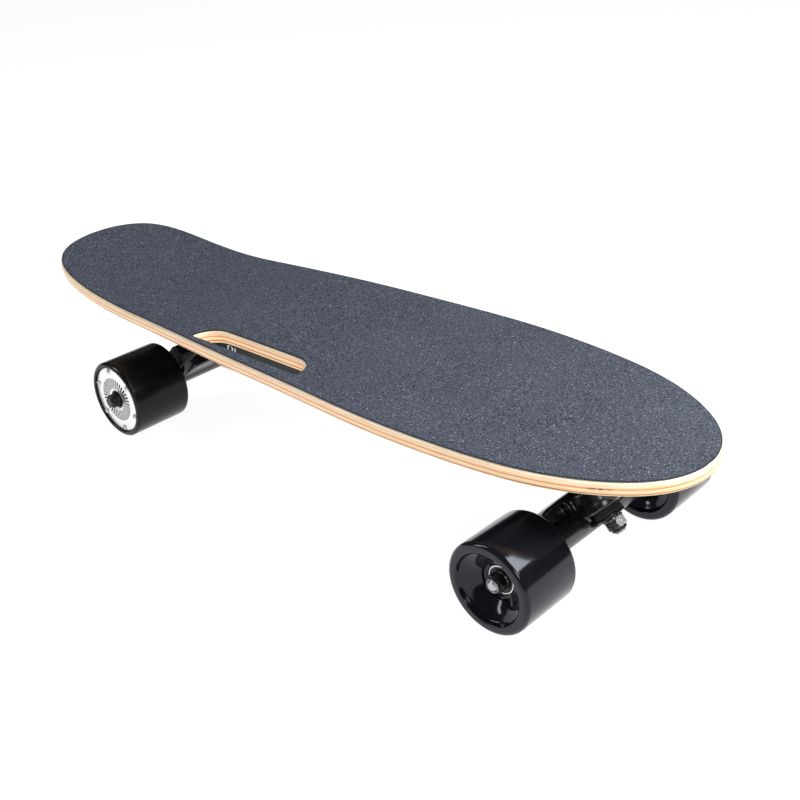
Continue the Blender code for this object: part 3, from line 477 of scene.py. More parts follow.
BLACK_STEEL = Finish("black_oxide_steel", (0.020, 0.020, 0.022), 0.30, metallic=0.55, rub=0.12,
    rub_size=0.0016, drift=0.45, drift_size=0.002, grain_size=0.0005, grain_depth=0.00002)
WORN_STEEL = Finish("rubbed_nut_steel", (0.20, 0.205, 0.215), 0.26, metallic=0.9, rub=0.12,
    rub_size=0.0014, drift=0.5, drift_size=0.0024, grain_size=0.0006, grain_depth=0.00003)
AXLE_STEEL = Finish("axle_steel", (0.33, 0.31, 0.29), 0.38, metallic=1.0, rub=0.10, rub_size=0.001,
    drift=0.45, drift_size=0.0016, grain_size=0.0007, grain_depth=0.00008)
RACE_STEEL = Finish("bearing_race_steel", (0.62, 0.62, 0.64), 0.22, metallic=1.0, drift=0.10,
    rub=0.05, grain_size=0.0003, grain_depth=0.000004)
SEAL = Finish("bearing_seal", (0.012, 0.012, 0.013), 0.42, drift=0.2, grain_size=0.0005,
    grain_depth=0.00002)
ALLOY = Finish("spacer_alloy", (0.40, 0.40, 0.42), 0.34, metallic=1.0, stretch=(1, 0.15, 1),
    grain_size=0.0006, grain_depth=0.00001)
# Painted shade: the can and the stator core are near-black so the inside of the motor reads dark through the
# cover's vents.
CAN_ALLOY_PAINTED_SHADE = Finish("dark_can_alloy", (0.020, 0.020, 0.022), 0.35, metallic=0.6, drift=0.2,
    grain_size=0.0006, grain_depth=0.00002)
BUSHING = Finish("bushing_urethane", (0.013, 0.013, 0.015), 0.34, drift=0.25, coat=0.15,
    coat_roughness=0.2, grain_size=0.0012, grain_depth=0.00003)
RUBBER = Finish("riser_rubber", (0.020, 0.020, 0.021), 0.70, drift=0.25, grain_size=0.0008,
    grain_depth=0.00006)
PLASTIC = Finish("textured_box_plastic", (0.0060, 0.0060, 0.0075), 0.46, specular=0.30, drift=0.15,
    rub=0.06, grain_size=0.00075, grain_depth=0.00012)
SOCKET = Finish("socket_chrome", (0.86, 0.87, 0.88), 0.16, metallic=1.0, drift=0.05, rub=0.04,
    grain_size=0.0004, grain_depth=0.000004)
LENS = Finish("status_lens", (0.80, 0.82, 0.82), 0.25, drift=0.05, coat=0.4, grain_size=0.0005,
    grain_depth=0.00001)
JACKET = Finish("cable_jacket", (0.012, 0.012, 0.013), 0.48, drift=0.2, grain_size=0.0009,
    grain_depth=0.00003)
WRAP = Finish("cell_wrap", (0.035, 0.13, 0.42), 0.30, coat=0.4, drift=0.2, grain_size=0.004,
    grain_depth=0.00010)
BOARD = Finish("circuit_board_green", (0.018, 0.13, 0.05), 0.42, drift=0.35, drift_size=0.004,
    coat=0.2, grain_size=0.0020, grain_depth=0.00008)
COPPER = StripedFinish("winding_copper", (0.62, 0.26, 0.11), 0.36, metallic=1.0,
    grain_depth=0.00018, pitch=0.0009)


# ------------------------------------------------------------------ workshop


def new_piece(name: str, mesh: bpy.types.Mesh, *finishes: Optional[Finish]) -> Piece:
    """Put a mesh in the scene.

    Args:
        name: The piece's name.
        mesh: Its mesh.
        *finishes: The finishes of its material slots, in order, or None for a tool.

    Returns:
        The piece.
    """
    piece = bpy.data.objects.new(name, mesh)
    bpy.context.scene.collection.objects.link(piece)
    mesh.materials.clear()
    for finish in filter(None, finishes):
        mesh.materials.append(finish.material())
    return piece


def mesh_of(name: str, points: Sequence, faces: Sequence, edges: Sequence = ()) -> bpy.types.Mesh:
    """A mesh from points and faces.

    Args:
        name: The mesh's name.
        points: Its points.
        faces: Its faces, as point numbers.
        edges: Its edges, where it has no faces.

    Returns:
        The mesh.
    """
    mesh = bpy.data.meshes.new(name)
    mesh.from_pydata([tuple(p) for p in points], [tuple(e) for e in edges],
                     [tuple(f) for f in faces])
    mesh.update()
    return mesh


def settle(piece: Piece) -> Piece:
    """Apply a piece's modifiers to its mesh.

    Args:
        piece: The piece.

    Returns:
        The same piece.
    """
    bpy.context.view_layer.update()
    graph = bpy.context.evaluated_depsgraph_get()
    baked = bpy.data.meshes.new_from_object(piece.evaluated_get(graph))
    piece.modifiers.clear()
    piece.data = baked
    return piece


def tidy(piece: Piece, merge: float = 1e-6, turn_out: bool = True) -> Piece:
    """Merge doubled points, drop loose edges and point the faces outwards.

    Args:
        piece: The piece.
        merge: Points nearer than this become one, in metres.
        turn_out: Whether to work out the faces' directions.

    Returns:
        The same piece.
    """
    build = bmesh.new()
    build.from_mesh(piece.data)
    bmesh.ops.remove_doubles(build, verts=build.verts, dist=merge)
    bmesh.ops.dissolve_degenerate(build, edges=build.edges, dist=merge)
    loose = [e for e in build.edges if not e.link_faces]
    bmesh.ops.delete(build, geom=loose, context="EDGES")
    if turn_out:
        bmesh.ops.recalc_face_normals(build, faces=build.faces)
    build.to_mesh(piece.data)
    build.free()
    return piece


def shade(piece: Piece, angle: float = 38.0) -> Piece:
    """Smooth shading, with sharp creases kept.

    Args:
        piece: The piece.
        angle: Creases sharper than this stay sharp, in degrees.

    Returns:
        The same piece.
    """
    piece.data.shade_smooth()
    piece.data.set_sharp_from_angle(angle=math.radians(angle))
    return piece


def at(x: float, y: float, z: float) -> Matrix:
    """A move by the given distances."""
    return Matrix.Translation((x, y, z))


def joint_of(name: str) -> dict:
    """The joint of that name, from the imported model."""
    return next(joint for joint in frame["joints"] if joint["name"] == name)


def moved(piece: Piece, matrix: Matrix) -> Piece:
    """Move the shape itself and leave the object at the origin.

    Args:
        piece: The piece.
        matrix: The move.

    Returns:
        The same piece.
    """
    piece.data.transform(matrix)
    if matrix.determinant() < 0:
        piece.data.flip_normals()
    return piece


def boolean(piece: Piece, tool: Piece, operation: str) -> Piece:
    """Cut or join a tool into a piece, and remove the tool.

    Args:
        piece: The piece.
        tool: The other shape.
        operation: Blender's name of the operation.

    Returns:
        The same piece.
    """
    step = piece.modifiers.new("Boolean", "BOOLEAN")
    step.operation = operation
    step.solver = "EXACT"
    step.object = tool
    settle(piece)
    bpy.data.objects.remove(tool, do_unlink=True)
    return piece


def cut(piece: Piece, *tools: Piece) -> Piece:
    """Take the tools away from a piece."""
    for tool in tools:
        boolean(piece, tool, "DIFFERENCE")
    return piece


def fuse(piece: Piece, *tools: Piece) -> Piece:
    """Join the tools to a piece."""
    for tool in tools:
        boolean(piece, tool, "UNION")
    return piece


def gather(name: str, pieces: Sequence[Piece]) -> Piece:
    """Several shapes as one piece, each with its own material.

    Args:
        name: The joined piece's name.
        pieces: The shapes.

    Returns:
        The joined piece.
    """
    first = pieces[0]
    if len(pieces) > 1:
        with bpy.context.temp_override(active_object=first, selected_objects=list(pieces),
                                       selected_editable_objects=list(pieces)):
            bpy.ops.object.join()
    first.name = name
    first.data.name = name
    return first


def cast(piece: Piece, voxel: float, rounds: int) -> Piece:
    """Give a sharp-edged shape a casting's soft fillets.

    Args:
        piece: The piece.
        voxel: Size of the new skin's cells in metres.
        rounds: How often the skin is smoothed.

    Returns:
        The same piece.
    """
    remesh = piece.modifiers.new("Skin", "REMESH")
    remesh.mode = "VOXEL"
    remesh.voxel_size = voxel
    soften = piece.modifiers.new("Fillets", "SMOOTH")
    soften.factor = 0.5
    soften.iterations = rounds
    settle(piece)
    piece.data.shade_smooth()
    return piece


def bevelled(piece: Piece, width: float, segments: int = 2, angle: float = 40.0) -> Piece:
    """Round the edges of a piece that are sharper than the angle.

    Args:
        piece: The piece.
        width: Width of the bevel in metres.
        segments: Its steps.
        angle: The angle in degrees.

    Returns:
        The same piece.
    """
    step = piece.modifiers.new("Bevel", "BEVEL")
    step.width = width
    step.segments = segments
    step.limit_method = "ANGLE"
    step.angle_limit = math.radians(angle)
    step.harden_normals = False
    return settle(piece)


def filleted(corners: Sequence[Place], steps: int = 5, closed: bool = True) -> list[tuple]:
    """An outline whose corners are arcs.

    Args:
        corners: Corner points as (first coordinate, second coordinate, fillet radius).
        steps: How many pieces each arc has.
        closed: Whether the last corner joins the first.

    Returns:
        The points of the outline.
    """
    outline = []
    count = len(corners)
    for i, (x, y, radius) in enumerate(corners):
        here = Vector((x, y))
        if radius <= 0 or (not closed and i in (0, count - 1)):
            outline.append((x, y))
            continue
        back = Vector(corners[i - 1][:2]) - here
        ahead = Vector(corners[(i + 1) % count][:2]) - here
        half = back.angle(ahead) / 2
        if half > math.radians(89.5):
            outline.append((x, y))
            continue
        reach = min(radius / math.tan(half), 0.49 * back.length, 0.49 * ahead.length)
        bend = reach * math.tan(half)
        back.normalize()
        ahead.normalize()
        centre = here + (back + ahead).normalized() * bend / math.sin(half)
        first = here + back * reach - centre
        last = here + ahead * reach - centre
        start = math.atan2(first.y, first.x)
        sweep = (math.atan2(last.y, last.x) - start + math.pi) % (2 * math.pi) - math.pi
        for k in range(steps + 1):
            turn = start + sweep * k / steps
            outline.append((centre.x + bend * math.cos(turn), centre.y + bend * math.sin(turn)))
    return outline


def turned(name: str, finish: Optional[Finish], profile: Sequence[tuple], steps: int = 48,
           angle: float = 38.0) -> Piece:
    """Turn a closed (radius, height) profile round Z.

    Args:
        name: The piece's name.
        finish: Its finish, or None for a tool.
        profile: The points of the profile.
        steps: How many steps the turn has.
        angle: Creases sharper than this stay sharp, in degrees.

    Returns:
        The piece, at its own origin.
    """
    count = len(profile)
    mesh = mesh_of(name, [(r, 0.0, z) for r, z in profile], [],
                   [(i, (i + 1) % count) for i in range(count)])
    piece = new_piece(name, mesh, finish)
    screw = piece.modifiers.new("Turn", "SCREW")
    screw.axis = "Z"
    screw.steps = steps
    screw.render_steps = steps
    screw.use_merge_vertices = True
    screw.merge_threshold = 1e-6
    return shade(tidy(settle(piece)), angle)


def ring(name: str, finish: Optional[Finish], inner: float, outer: float, low: float, high: float,
         edge: float = 0.0003, steps: int = 48) -> Piece:
    """A flat ring along Z with rounded edges."""
    corners = [(inner, low, edge), (outer, low, edge), (outer, high, edge), (inner, high, edge)]
    return turned(name, finish, filleted(corners, 3), steps)


def rod(name: str, finish: Optional[Finish], radius: float, low: float, high: float,
        edge: float = 0.0, steps: int = 40) -> Piece:
    """A round bar along Z with rounded rims."""
    corners = [(0.0, low, 0.0), (radius, low, edge), (radius, high, edge), (0.0, high, 0.0)]
    return turned(name, finish, filleted(corners, 3), steps)


def prism(name: str, finish: Optional[Finish], outline: Sequence[tuple], low: float, high: float,
          edge: float = 0.0, segments: int = 2) -> Piece:
    """An anticlockwise outline given a height along Z, with rounded edges.

    Args:
        name: The piece's name.
        finish: Its finish, or None for a tool.
        outline: The (x, y) points.
        low: Its lower height.
        high: Its upper height.
        edge: Width of its rounded edges.
        segments: Steps of its rounded edges.

    Returns:
        The piece, at its own origin.
    """
    count = len(outline)
    points = [(x, y, low) for x, y in outline] + [(x, y, high) for x, y in outline]
    faces = [tuple(reversed(range(count))), tuple(range(count, 2 * count))]
    faces += [(i, (i + 1) % count, count + (i + 1) % count, count + i) for i in range(count)]
    piece = new_piece(name, mesh_of(name, points, faces), finish)
    if edge > 0:
        bevelled(piece, edge, segments)
    return shade(piece, 30.0)


def rectangle(low: tuple[float, float], high: tuple[float, float], radius: float,
              steps: int = 6) -> list[tuple]:
    """A rectangle with round corners, anticlockwise."""
    corners = [(low[0], low[1], radius), (high[0], low[1], radius), (high[0], high[1], radius),
               (low[0], high[1], radius)]
    return filleted(corners, steps)


def hexagon(across: float, turn: float = 0.0) -> list[tuple]:
    """A hexagon by its width across flats."""
    radius = across / math.sqrt(3.0)
    return [(radius * math.cos(turn + i * math.pi / 3), radius * math.sin(turn + i * math.pi / 3))
            for i in range(6)]


def hex_nut(name: str, finish: Finish, across: float, low: float, high: float, bore: float,
            turn: float = 0.0) -> Piece:
    """A nut along Z whose corners are turned down at both faces.

    Args:
        name: The piece's name.
        finish: Its finish.
        across: Width across flats.
        low: Its lower height.
        high: Its upper height.
        bore: Radius of its hole.
        turn: How far it is turned, in radians.

    Returns:
        The nut, at its own origin.
    """
    radius = across / math.sqrt(3.0)
    slope = (radius - across / 2) * 0.62
    nut = prism(name, finish, hexagon(across, turn), low, high)
    corners = [(0.0, low - 1e-4, 0), (across / 2 * 0.97, low - 1e-4, 0), (radius + 1e-4, low + slope, 0),
               (radius + 1e-4, high - slope, 0), (across / 2 * 0.97, high + 1e-4, 0),
               (0.0, high + 1e-4, 0)]
    boolean(nut, turned("nut_tool", None, filleted(corners), 48), "INTERSECT")
    cut(nut, rod("bore_tool", None, bore, low - 0.01, high + 0.01, 0.0, 32))
    return shade(nut, 25.0)


def loft(name: str, finish: Optional[Finish], sections: Sequence[Sequence[Place]]) -> Piece:
    """Skin equal rings of points and close both ends.

    Args:
        name: The piece's name.
        finish: Its finish, or None for a tool.
        sections: The rings of points.

    Returns:
        The closed piece.
    """
    count = len(sections[0])
    points = [p for section in sections for p in section]
    faces = [tuple(reversed(range(count)))]
    for s in range(len(sections) - 1):
        base = s * count
        for i in range(count):
            j = (i + 1) % count
            faces.append((base + i, base + j, base + count + j, base + count + i))
    last = (len(sections) - 1) * count
    faces.append(tuple(range(last, last + count)))
    piece = new_piece(name, mesh_of(name, points, faces), finish)
    return shade(tidy(piece))


def tube(name: str, finish: Finish, route: Sequence[Vector], radius: float) -> Piece:
    """A round cable along a route, as a mesh with closed ends.

    Args:
        name: The piece's name.
        finish: Its finish.
        route: The points that it follows.
        radius: Its radius.

    Returns:
        The cable.
    """
    curve = bpy.data.curves.new(name, "CURVE")
    curve.dimensions = "3D"
    curve.bevel_depth = radius
    curve.bevel_resolution = 6
    curve.use_fill_caps = True
    spline = curve.splines.new("POLY")
    spline.points.add(len(route) - 1)
    for place, point in zip(route, spline.points):
        point.co = (*place, 1.0)
    drawn = bpy.data.objects.new(name + "_line", curve)
    bpy.context.scene.collection.objects.link(drawn)
    bpy.context.view_layer.update()
    graph = bpy.context.evaluated_depsgraph_get()
    mesh = bpy.data.meshes.new_from_object(drawn.evaluated_get(graph))
    bpy.data.objects.remove(drawn, do_unlink=True)
    piece = new_piece(name, mesh, finish)
    return shade(tidy(piece))


def smooth_route(route: Sequence[Place], count: int) -> list[Vector]:
    """Even points on a smooth curve through a route.

    Args:
        route: The places that the curve passes through.
        count: How many points to give.

    Returns:
        The points.
    """
    places = [Vector(p) for p in route]
    padded = [places[0] * 2 - places[1]] + places + [places[-1] * 2 - places[-2]]
    result = []
    for i in range(count):
        place = i / (count - 1) * (len(places) - 1)
        k = min(int(place), len(places) - 2)
        t = place - k
        a, b, c, d = padded[k:k + 4]
        result.append(0.5 * (2 * b + (c - a) * t + (2 * a - 5 * b + 4 * c - d) * t ** 2
                             + (3 * b - a - 3 * c + d) * t ** 3))
    return result


def refined(name: str, node: str, finish: Finish, edge: float, angle: float = 40.0) -> Piece:
    """A CAD node's shape with its edges rounded.

    Args:
        name: The piece's name.
        node: The CAD node.
        finish: The piece's finish.
        edge: Width of the rounded edges, or 0.
        angle: Edges sharper than this are rounded, in degrees.

    Returns:
        The piece.
    """
    piece = new_piece(name, frame["nodes"][node].data.copy(), finish)
    tidy(piece, 1e-6, False)
    build = bmesh.new()
    build.from_mesh(piece.data)
    bmesh.ops.dissolve_limit(build, angle_limit=math.radians(1.0), verts=build.verts,
                             edges=build.edges)
    build.to_mesh(piece.data)
    build.free()
    if edge > 0:
        bevelled(piece, edge, 2, angle)
    return shade(piece, 35.0)


def fit(piece: Piece, body: str, slot: str, *nodes: str) -> Piece:
    """Hang a finished piece on its body.

    Args:
        piece: The piece, with its place in its mesh.
        body: The body that it moves with.
        slot: Not used.
        *nodes: The CAD nodes that it stands for.

    Returns:
        The piece.
    """
    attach(piece, body)
    if nodes:
        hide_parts(*nodes)
    LOG.info("%s rides on %s, %d faces", piece.name, body, len(piece.data.polygons))
    return piece


def flex(piece: Piece, bodies: tuple[str, str], reach: tuple[Vector, Vector], slot: str,
         *nodes: str) -> Piece:
    """Hang a soft piece between two bodies that one joint joins.

    Args:
        piece: The piece, with its place in its mesh.
        bodies: The body at its start and the body at its end.
        reach: Not used.
        slot: Not used.
        *nodes: The CAD nodes that it stands for.

    Returns:
        The piece.
    """
    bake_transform(piece)
    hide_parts(*nodes)
    LOG.info("%s bends between %s and %s", piece.name, *bodies)
    return piece


# ------------------------------------------------------------------ deck


@dataclass
class Deck:
    """The laminated deck and its grip sheet."""

    length: float = 0.700
    top_middle: float = 0.1208
    wood: float = 0.0107
    camber_drop: float = 0.0085
    tail_kick: float = 0.0285
    kick_start: float = -0.179
    hub_lift: float = 0.0010
    front_axle: float = 0.255
    rear_axle: float = -0.198
    half_widths: tuple[float, ...] = (0.0444, 0.0676, 0.0758, 0.0797, 0.0858, 0.0922,
                                      0.0964, 0.0997, 0.0959, 0.0847, 0.0628, 0.0340)
    edge: float = 0.0030
    sheet: float = 0.0008
    sheet_inset: float = 0.0012
    sheet_border: float = 0.0008
    slot_x: tuple[float, float] = (-0.090, 0.040)
    slot_y: tuple[float, float] = (-0.0815, -0.0597)
    slot_end: float = 0.021
    slot_corner: float = 0.0025
    slot_round: float = 0.0007
    stations: int = 110
    tip: float = 0.012

    def __post_init__(self) -> None:
        """Work out the spline that carries the outline."""
        steps = len(self.half_widths) + 1
        angles = [math.pi * i / steps for i in range(steps + 1)]
        knots = [(-self.length / 2 * math.cos(a), w)
                 for a, w in zip(angles, (0.0, *self.half_widths, 0.0))]
        self.knots = knots + [(x, -w) for x, w in reversed(knots[1:-1])]
        self.bends = self.spline_bends()

    def spline_bends(self) -> list[tuple[float, float]]:
        """Second derivatives of a closed cubic spline, by relaxation.

        Returns:
            The bend at each knot, as (x, y).
        """
        count = len(self.knots)
        bends = [(0.0, 0.0)] * count
        for _ in range(60):
            for i in range(count):
                before, after = (i - 1) % count, (i + 1) % count
                bends[i] = tuple(
                    (6.0 * (self.knots[before][k] - 2.0 * self.knots[i][k] + self.knots[after][k])
                     - bends[before][k] - bends[after][k]) / 4.0 for k in (0, 1))
        return bends

    def outline(self, turn: float) -> tuple[float, float]:
        """Point (x, half width) at turn 0, the tail tip, to 1, the nose tip.

        Args:
            turn: How far along the outline the point lies.

        Returns:
            The point.
        """
        steps = len(self.half_widths) + 1
        place = min(max(turn, 0.0), 1.0) * steps
        i = min(int(place), steps - 1)
        u = place - i
        v = 1.0 - u
        x, y = (v * self.knots[i][k] + u * self.knots[i + 1][k]
                + (v ** 3 - v) * self.bends[i][k] / 6.0
                + (u ** 3 - u) * self.bends[i + 1][k] / 6.0 for k in (0, 1))
        return x, max(y, 0.0)

    def top(self, x: float) -> float:
        """Height of the grip surface at x.

        Args:
            x: The place along the board.

        Returns:
            The height.
        """
        lift = -self.hub_lift * x / (self.front_axle - self.rear_axle)
        camber = -self.camber_drop * (2 * x / self.length) ** 2
        tail = max(0.0, (self.kick_start - x) / (self.length / 2 + self.kick_start))
        return self.top_middle + lift + camber + self.tail_kick * tail ** 2

    def sheet_under(self, x: float) -> float:
        """Height of the grip sheet's lower face at x."""
        return self.top(x) - self.sheet

    def sheet_lip(self, x: float) -> float:
        """Height at x where the sheet's rim starts to round."""
        return self.top(x) - 0.00030

    def wood_top(self, x: float) -> float:
        """Height of the deck's upper face at x, under the sheet."""
        return self.top(x) - self.sheet - GAP

    def bottom(self, x: float) -> float:
        """Height of the deck's lower face at x."""
        return self.wood_top(x) - self.wood

    def rim(self, inset: float) -> tuple[list[tuple], list[tuple]]:
        """The right and the left edge as (x, y), moved inwards, each from tail to nose.

        Args:
            inset: How far inwards the edges are moved.

        Returns:
            The right edge and the left edge.
        """
        right = []
        for i in range(self.stations + 1):
            turn = self.tip + (1.0 - 2.0 * self.tip) * i / self.stations
            x, half = self.outline(turn)
            before, after = self.outline(turn - 0.002), self.outline(turn + 0.002)
            along = Vector((after[0] - before[0], before[1] - after[1])).normalized()
            right.append((x - along.y * inset, along.x * inset - half))
        return right, [(x, -y) for x, y in right]

    def slab(self, name: str, levels: Sequence[Level],
             rim: Finish, face: Finish) -> Piece:
        """A closed slab over the outline.

        Args:
            name: The piece's name.
            levels: From the lower face round the edge to the upper face, each as (inset, height
                at x).
            rim: The finish of the edge.
            face: The finish of the two faces.

        Returns:
            The piece.
        """
        points, loops = [], []
        for inset, height in levels:
            right, left = self.rim(inset)
            loop = right + list(reversed(left))
            loops.append(len(points))
            points += [(x, y, height(x)) for x, y in loop]
        count = 2 * (self.stations + 1)
        faces = []
        for low, high in zip(loops, loops[1:]):
            faces += [(low + i, low + (i + 1) % count, high + (i + 1) % count, high + i)
                      for i in range(count)]
        for base, upward in ((loops[0], False), (loops[-1], True)):
            for i in range(self.stations):
                corners = [base + i, base + i + 1, base + count - i - 2, base + count - i - 1]
                faces.append(corners if upward else corners[::-1])
        piece = new_piece(name, mesh_of(name, points, faces), rim, face)
        for polygon in piece.data.polygons:
            polygon.material_index = int(polygon.index >= count * (len(levels) - 1))
        return piece

    def slot_outline(self, grow: float) -> list[tuple]:
        """The hand slot: straight towards the board's edge, its two inner corners well rounded.

        Args:
            grow: How far the outline lies outside the slot's wall.

        Returns:
            The same number of (x, y) points for any growth.
        """
        x_low, x_high = self.slot_x[0] - grow, self.slot_x[1] + grow
        y_low, y_high = self.slot_y[0] - grow, self.slot_y[1] + grow
        corner = self.slot_corner
        depth = y_high - y_low - corner
        reach = self.slot_end
        quarter = [math.pi / 2 * k / 14 for k in range(15)]
        small = [math.pi / 2 * k / 4 for k in range(5)]
        outline = [(x_high - corner + corner * math.sin(t), y_low + corner - corner * math.cos(t))
                   for t in small]
        outline += [(x_high - reach * (1 - math.cos(t)), y_low + corner + depth * math.sin(t))
                    for t in quarter[1:]]
        outline += self.straight((x_high - reach, y_high), (x_low + reach, y_high), 12)
        outline += [(x_low + reach * (1 - math.cos(t)), y_low + corner + depth * math.sin(t))
                    for t in reversed(quarter)]
        outline += [(x_low + corner - corner * math.cos(t), y_low + corner - corner * math.sin(t))
                    for t in small[1:]]
        outline += self.straight((x_low + corner, y_low), (x_high - corner, y_low), 18)
        return outline

    @staticmethod
    def straight(start: tuple, end: tuple, parts: int) -> list[tuple]:
        """The points between two ends of a straight run."""
        return [(start[0] + (end[0] - start[0]) * k / parts,
                 start[1] + (end[1] - start[1]) * k / parts) for k in range(1, parts)]

    def slot_tool(self, levels: Sequence[Level]) -> Piece:
        """A cutter for the slot, flared where it leaves the faces."""
        sections = [[(x, y, height(x)) for x, y in self.slot_outline(grow)]
                    for grow, height in levels]
        return loft("slot_tool", None, sections)

    def edge_levels(self) -> list[Level]:
        """The deck's rounded edge, from the lower face to the upper one.

        Returns:
            The levels, each as (inset, height at x).
        """
        steps = 6
        walls = []
        for k in range(1, 5):
            rise = self.edge + (self.wood - 2 * self.edge) * k / 5
            walls.append((0.0, lambda x, rise=rise: self.bottom(x) + rise))
        lower = [self.arc_level(self.edge, k / steps, 1) for k in range(steps + 1)]
        upper = [self.arc_level(self.edge, 1 - k / steps, -1) for k in range(steps + 1)]
        return lower + walls + upper

    def arc_level(self, radius: float, share: float, way: int) -> Level:
        """One level of a rounded rim.

        Args:
            radius: The rim's radius.
            share: How far round the quarter turn it lies, from 0 at the face to 1 at the wall.
            way: 1 for the lower rim, -1 for the upper one.

        Returns:
            Its distance from the wall, and its height at x.
        """
        turn = math.pi / 2 * share
        rise = radius * (1 - math.cos(turn))
        face = self.bottom if way > 0 else self.wood_top
        return radius * (1 - math.sin(turn)), lambda x: face(x) + way * rise

    def build_wood(self) -> Piece:
        """The laminated deck with its slot.

        Returns:
            The deck.
        """
        deck = self.slab("laminated_deck", self.edge_levels(), PLY_EDGE, MAPLE)
        soft = self.slot_round
        levels = [(soft, lambda x: self.bottom(x) - 0.004), (soft, lambda x: self.bottom(x) - 1e-5)]
        levels += [self.arc_level(soft, k / 3, 1) for k in range(1, 4)]
        levels += [self.arc_level(soft, 1 - k / 3, -1) for k in range(3)]
        levels += [(soft, lambda x: self.wood_top(x) + 1e-5), (soft, lambda x: self.wood_top(x) + 0.004)]
        cut(deck, self.slot_tool(levels))
        tidy(deck, 2e-6)
        self.mark_plies(deck)
        return fit(shade(deck, 30.0), "deck_body", "maple", "deck")

    def mark_plies(self, deck: Piece) -> None:
        """Store how deep each point lies between the upper and the lower face.

        Args:
            deck: The deck, with its slot cut.
        """
        layer = deck.data.attributes.new("ply", "FLOAT", "POINT")
        depths = [(self.wood_top(v.co.x) - v.co.z) / self.wood for v in deck.data.vertices]
        layer.data.foreach_set("value", depths)

    def build_sheet(self) -> Piece:
        """The grip sheet, its rim pressed down and darker than the grit.

        Returns:
            The sheet.
        """
        low, high = self.sheet_inset, self.sheet_inset + self.sheet_border
        sheet = self.slab("grip_sheet", [(low, self.sheet_under), (low, self.sheet_lip),
                                         (low + 0.0003, self.top), (high, self.top)],
                          GRIT_EDGE, GRIT)
        grow = 0.0005
        wide = grow + self.sheet_border
        cut(sheet, self.slot_tool([(wide, lambda x: self.top(x) - 0.01),
                                   (wide, lambda x: self.top(x) + 0.01)]))
        tidy(sheet)
        hem = self.slot_hem(grow, wide)
        return fit(shade(gather("grip_sheet", [sheet, hem]), 50.0), "deck_body", "grip",
                   "grip_tape")

    def slot_hem(self, grow: float, wide: float) -> Piece:
        """The dark border of the sheet round the slot.

        Args:
            grow: How far outside the slot's wall the border starts.
            wide: How far outside the slot's wall it ends.

        Returns:
            The border.
        """
        levels = [(wide, self.sheet_under), (grow, self.sheet_under), (grow, self.sheet_lip),
                  (grow + 0.0003, self.top), (wide, self.top)]
        points, faces = [], []
        for outset, height in levels:
            points += [(x, y, height(x)) for x, y in self.slot_outline(outset)]
        count = len(points) // len(levels)
        for k in range(len(levels)):
            base, after = k * count, (k + 1) % len(levels) * count
            faces += [(base + i, base + (i + 1) % count, after + (i + 1) % count, after + i)
                      for i in range(count)]
        hem = new_piece("slot_hem", mesh_of("slot_hem", points, faces), GRIT_EDGE)
        return tidy(hem)

    def build(self) -> None:
        """Make the deck and its sheet."""
        self.build_wood()
        self.build_sheet()


# ------------------------------------------------------------------ trucks


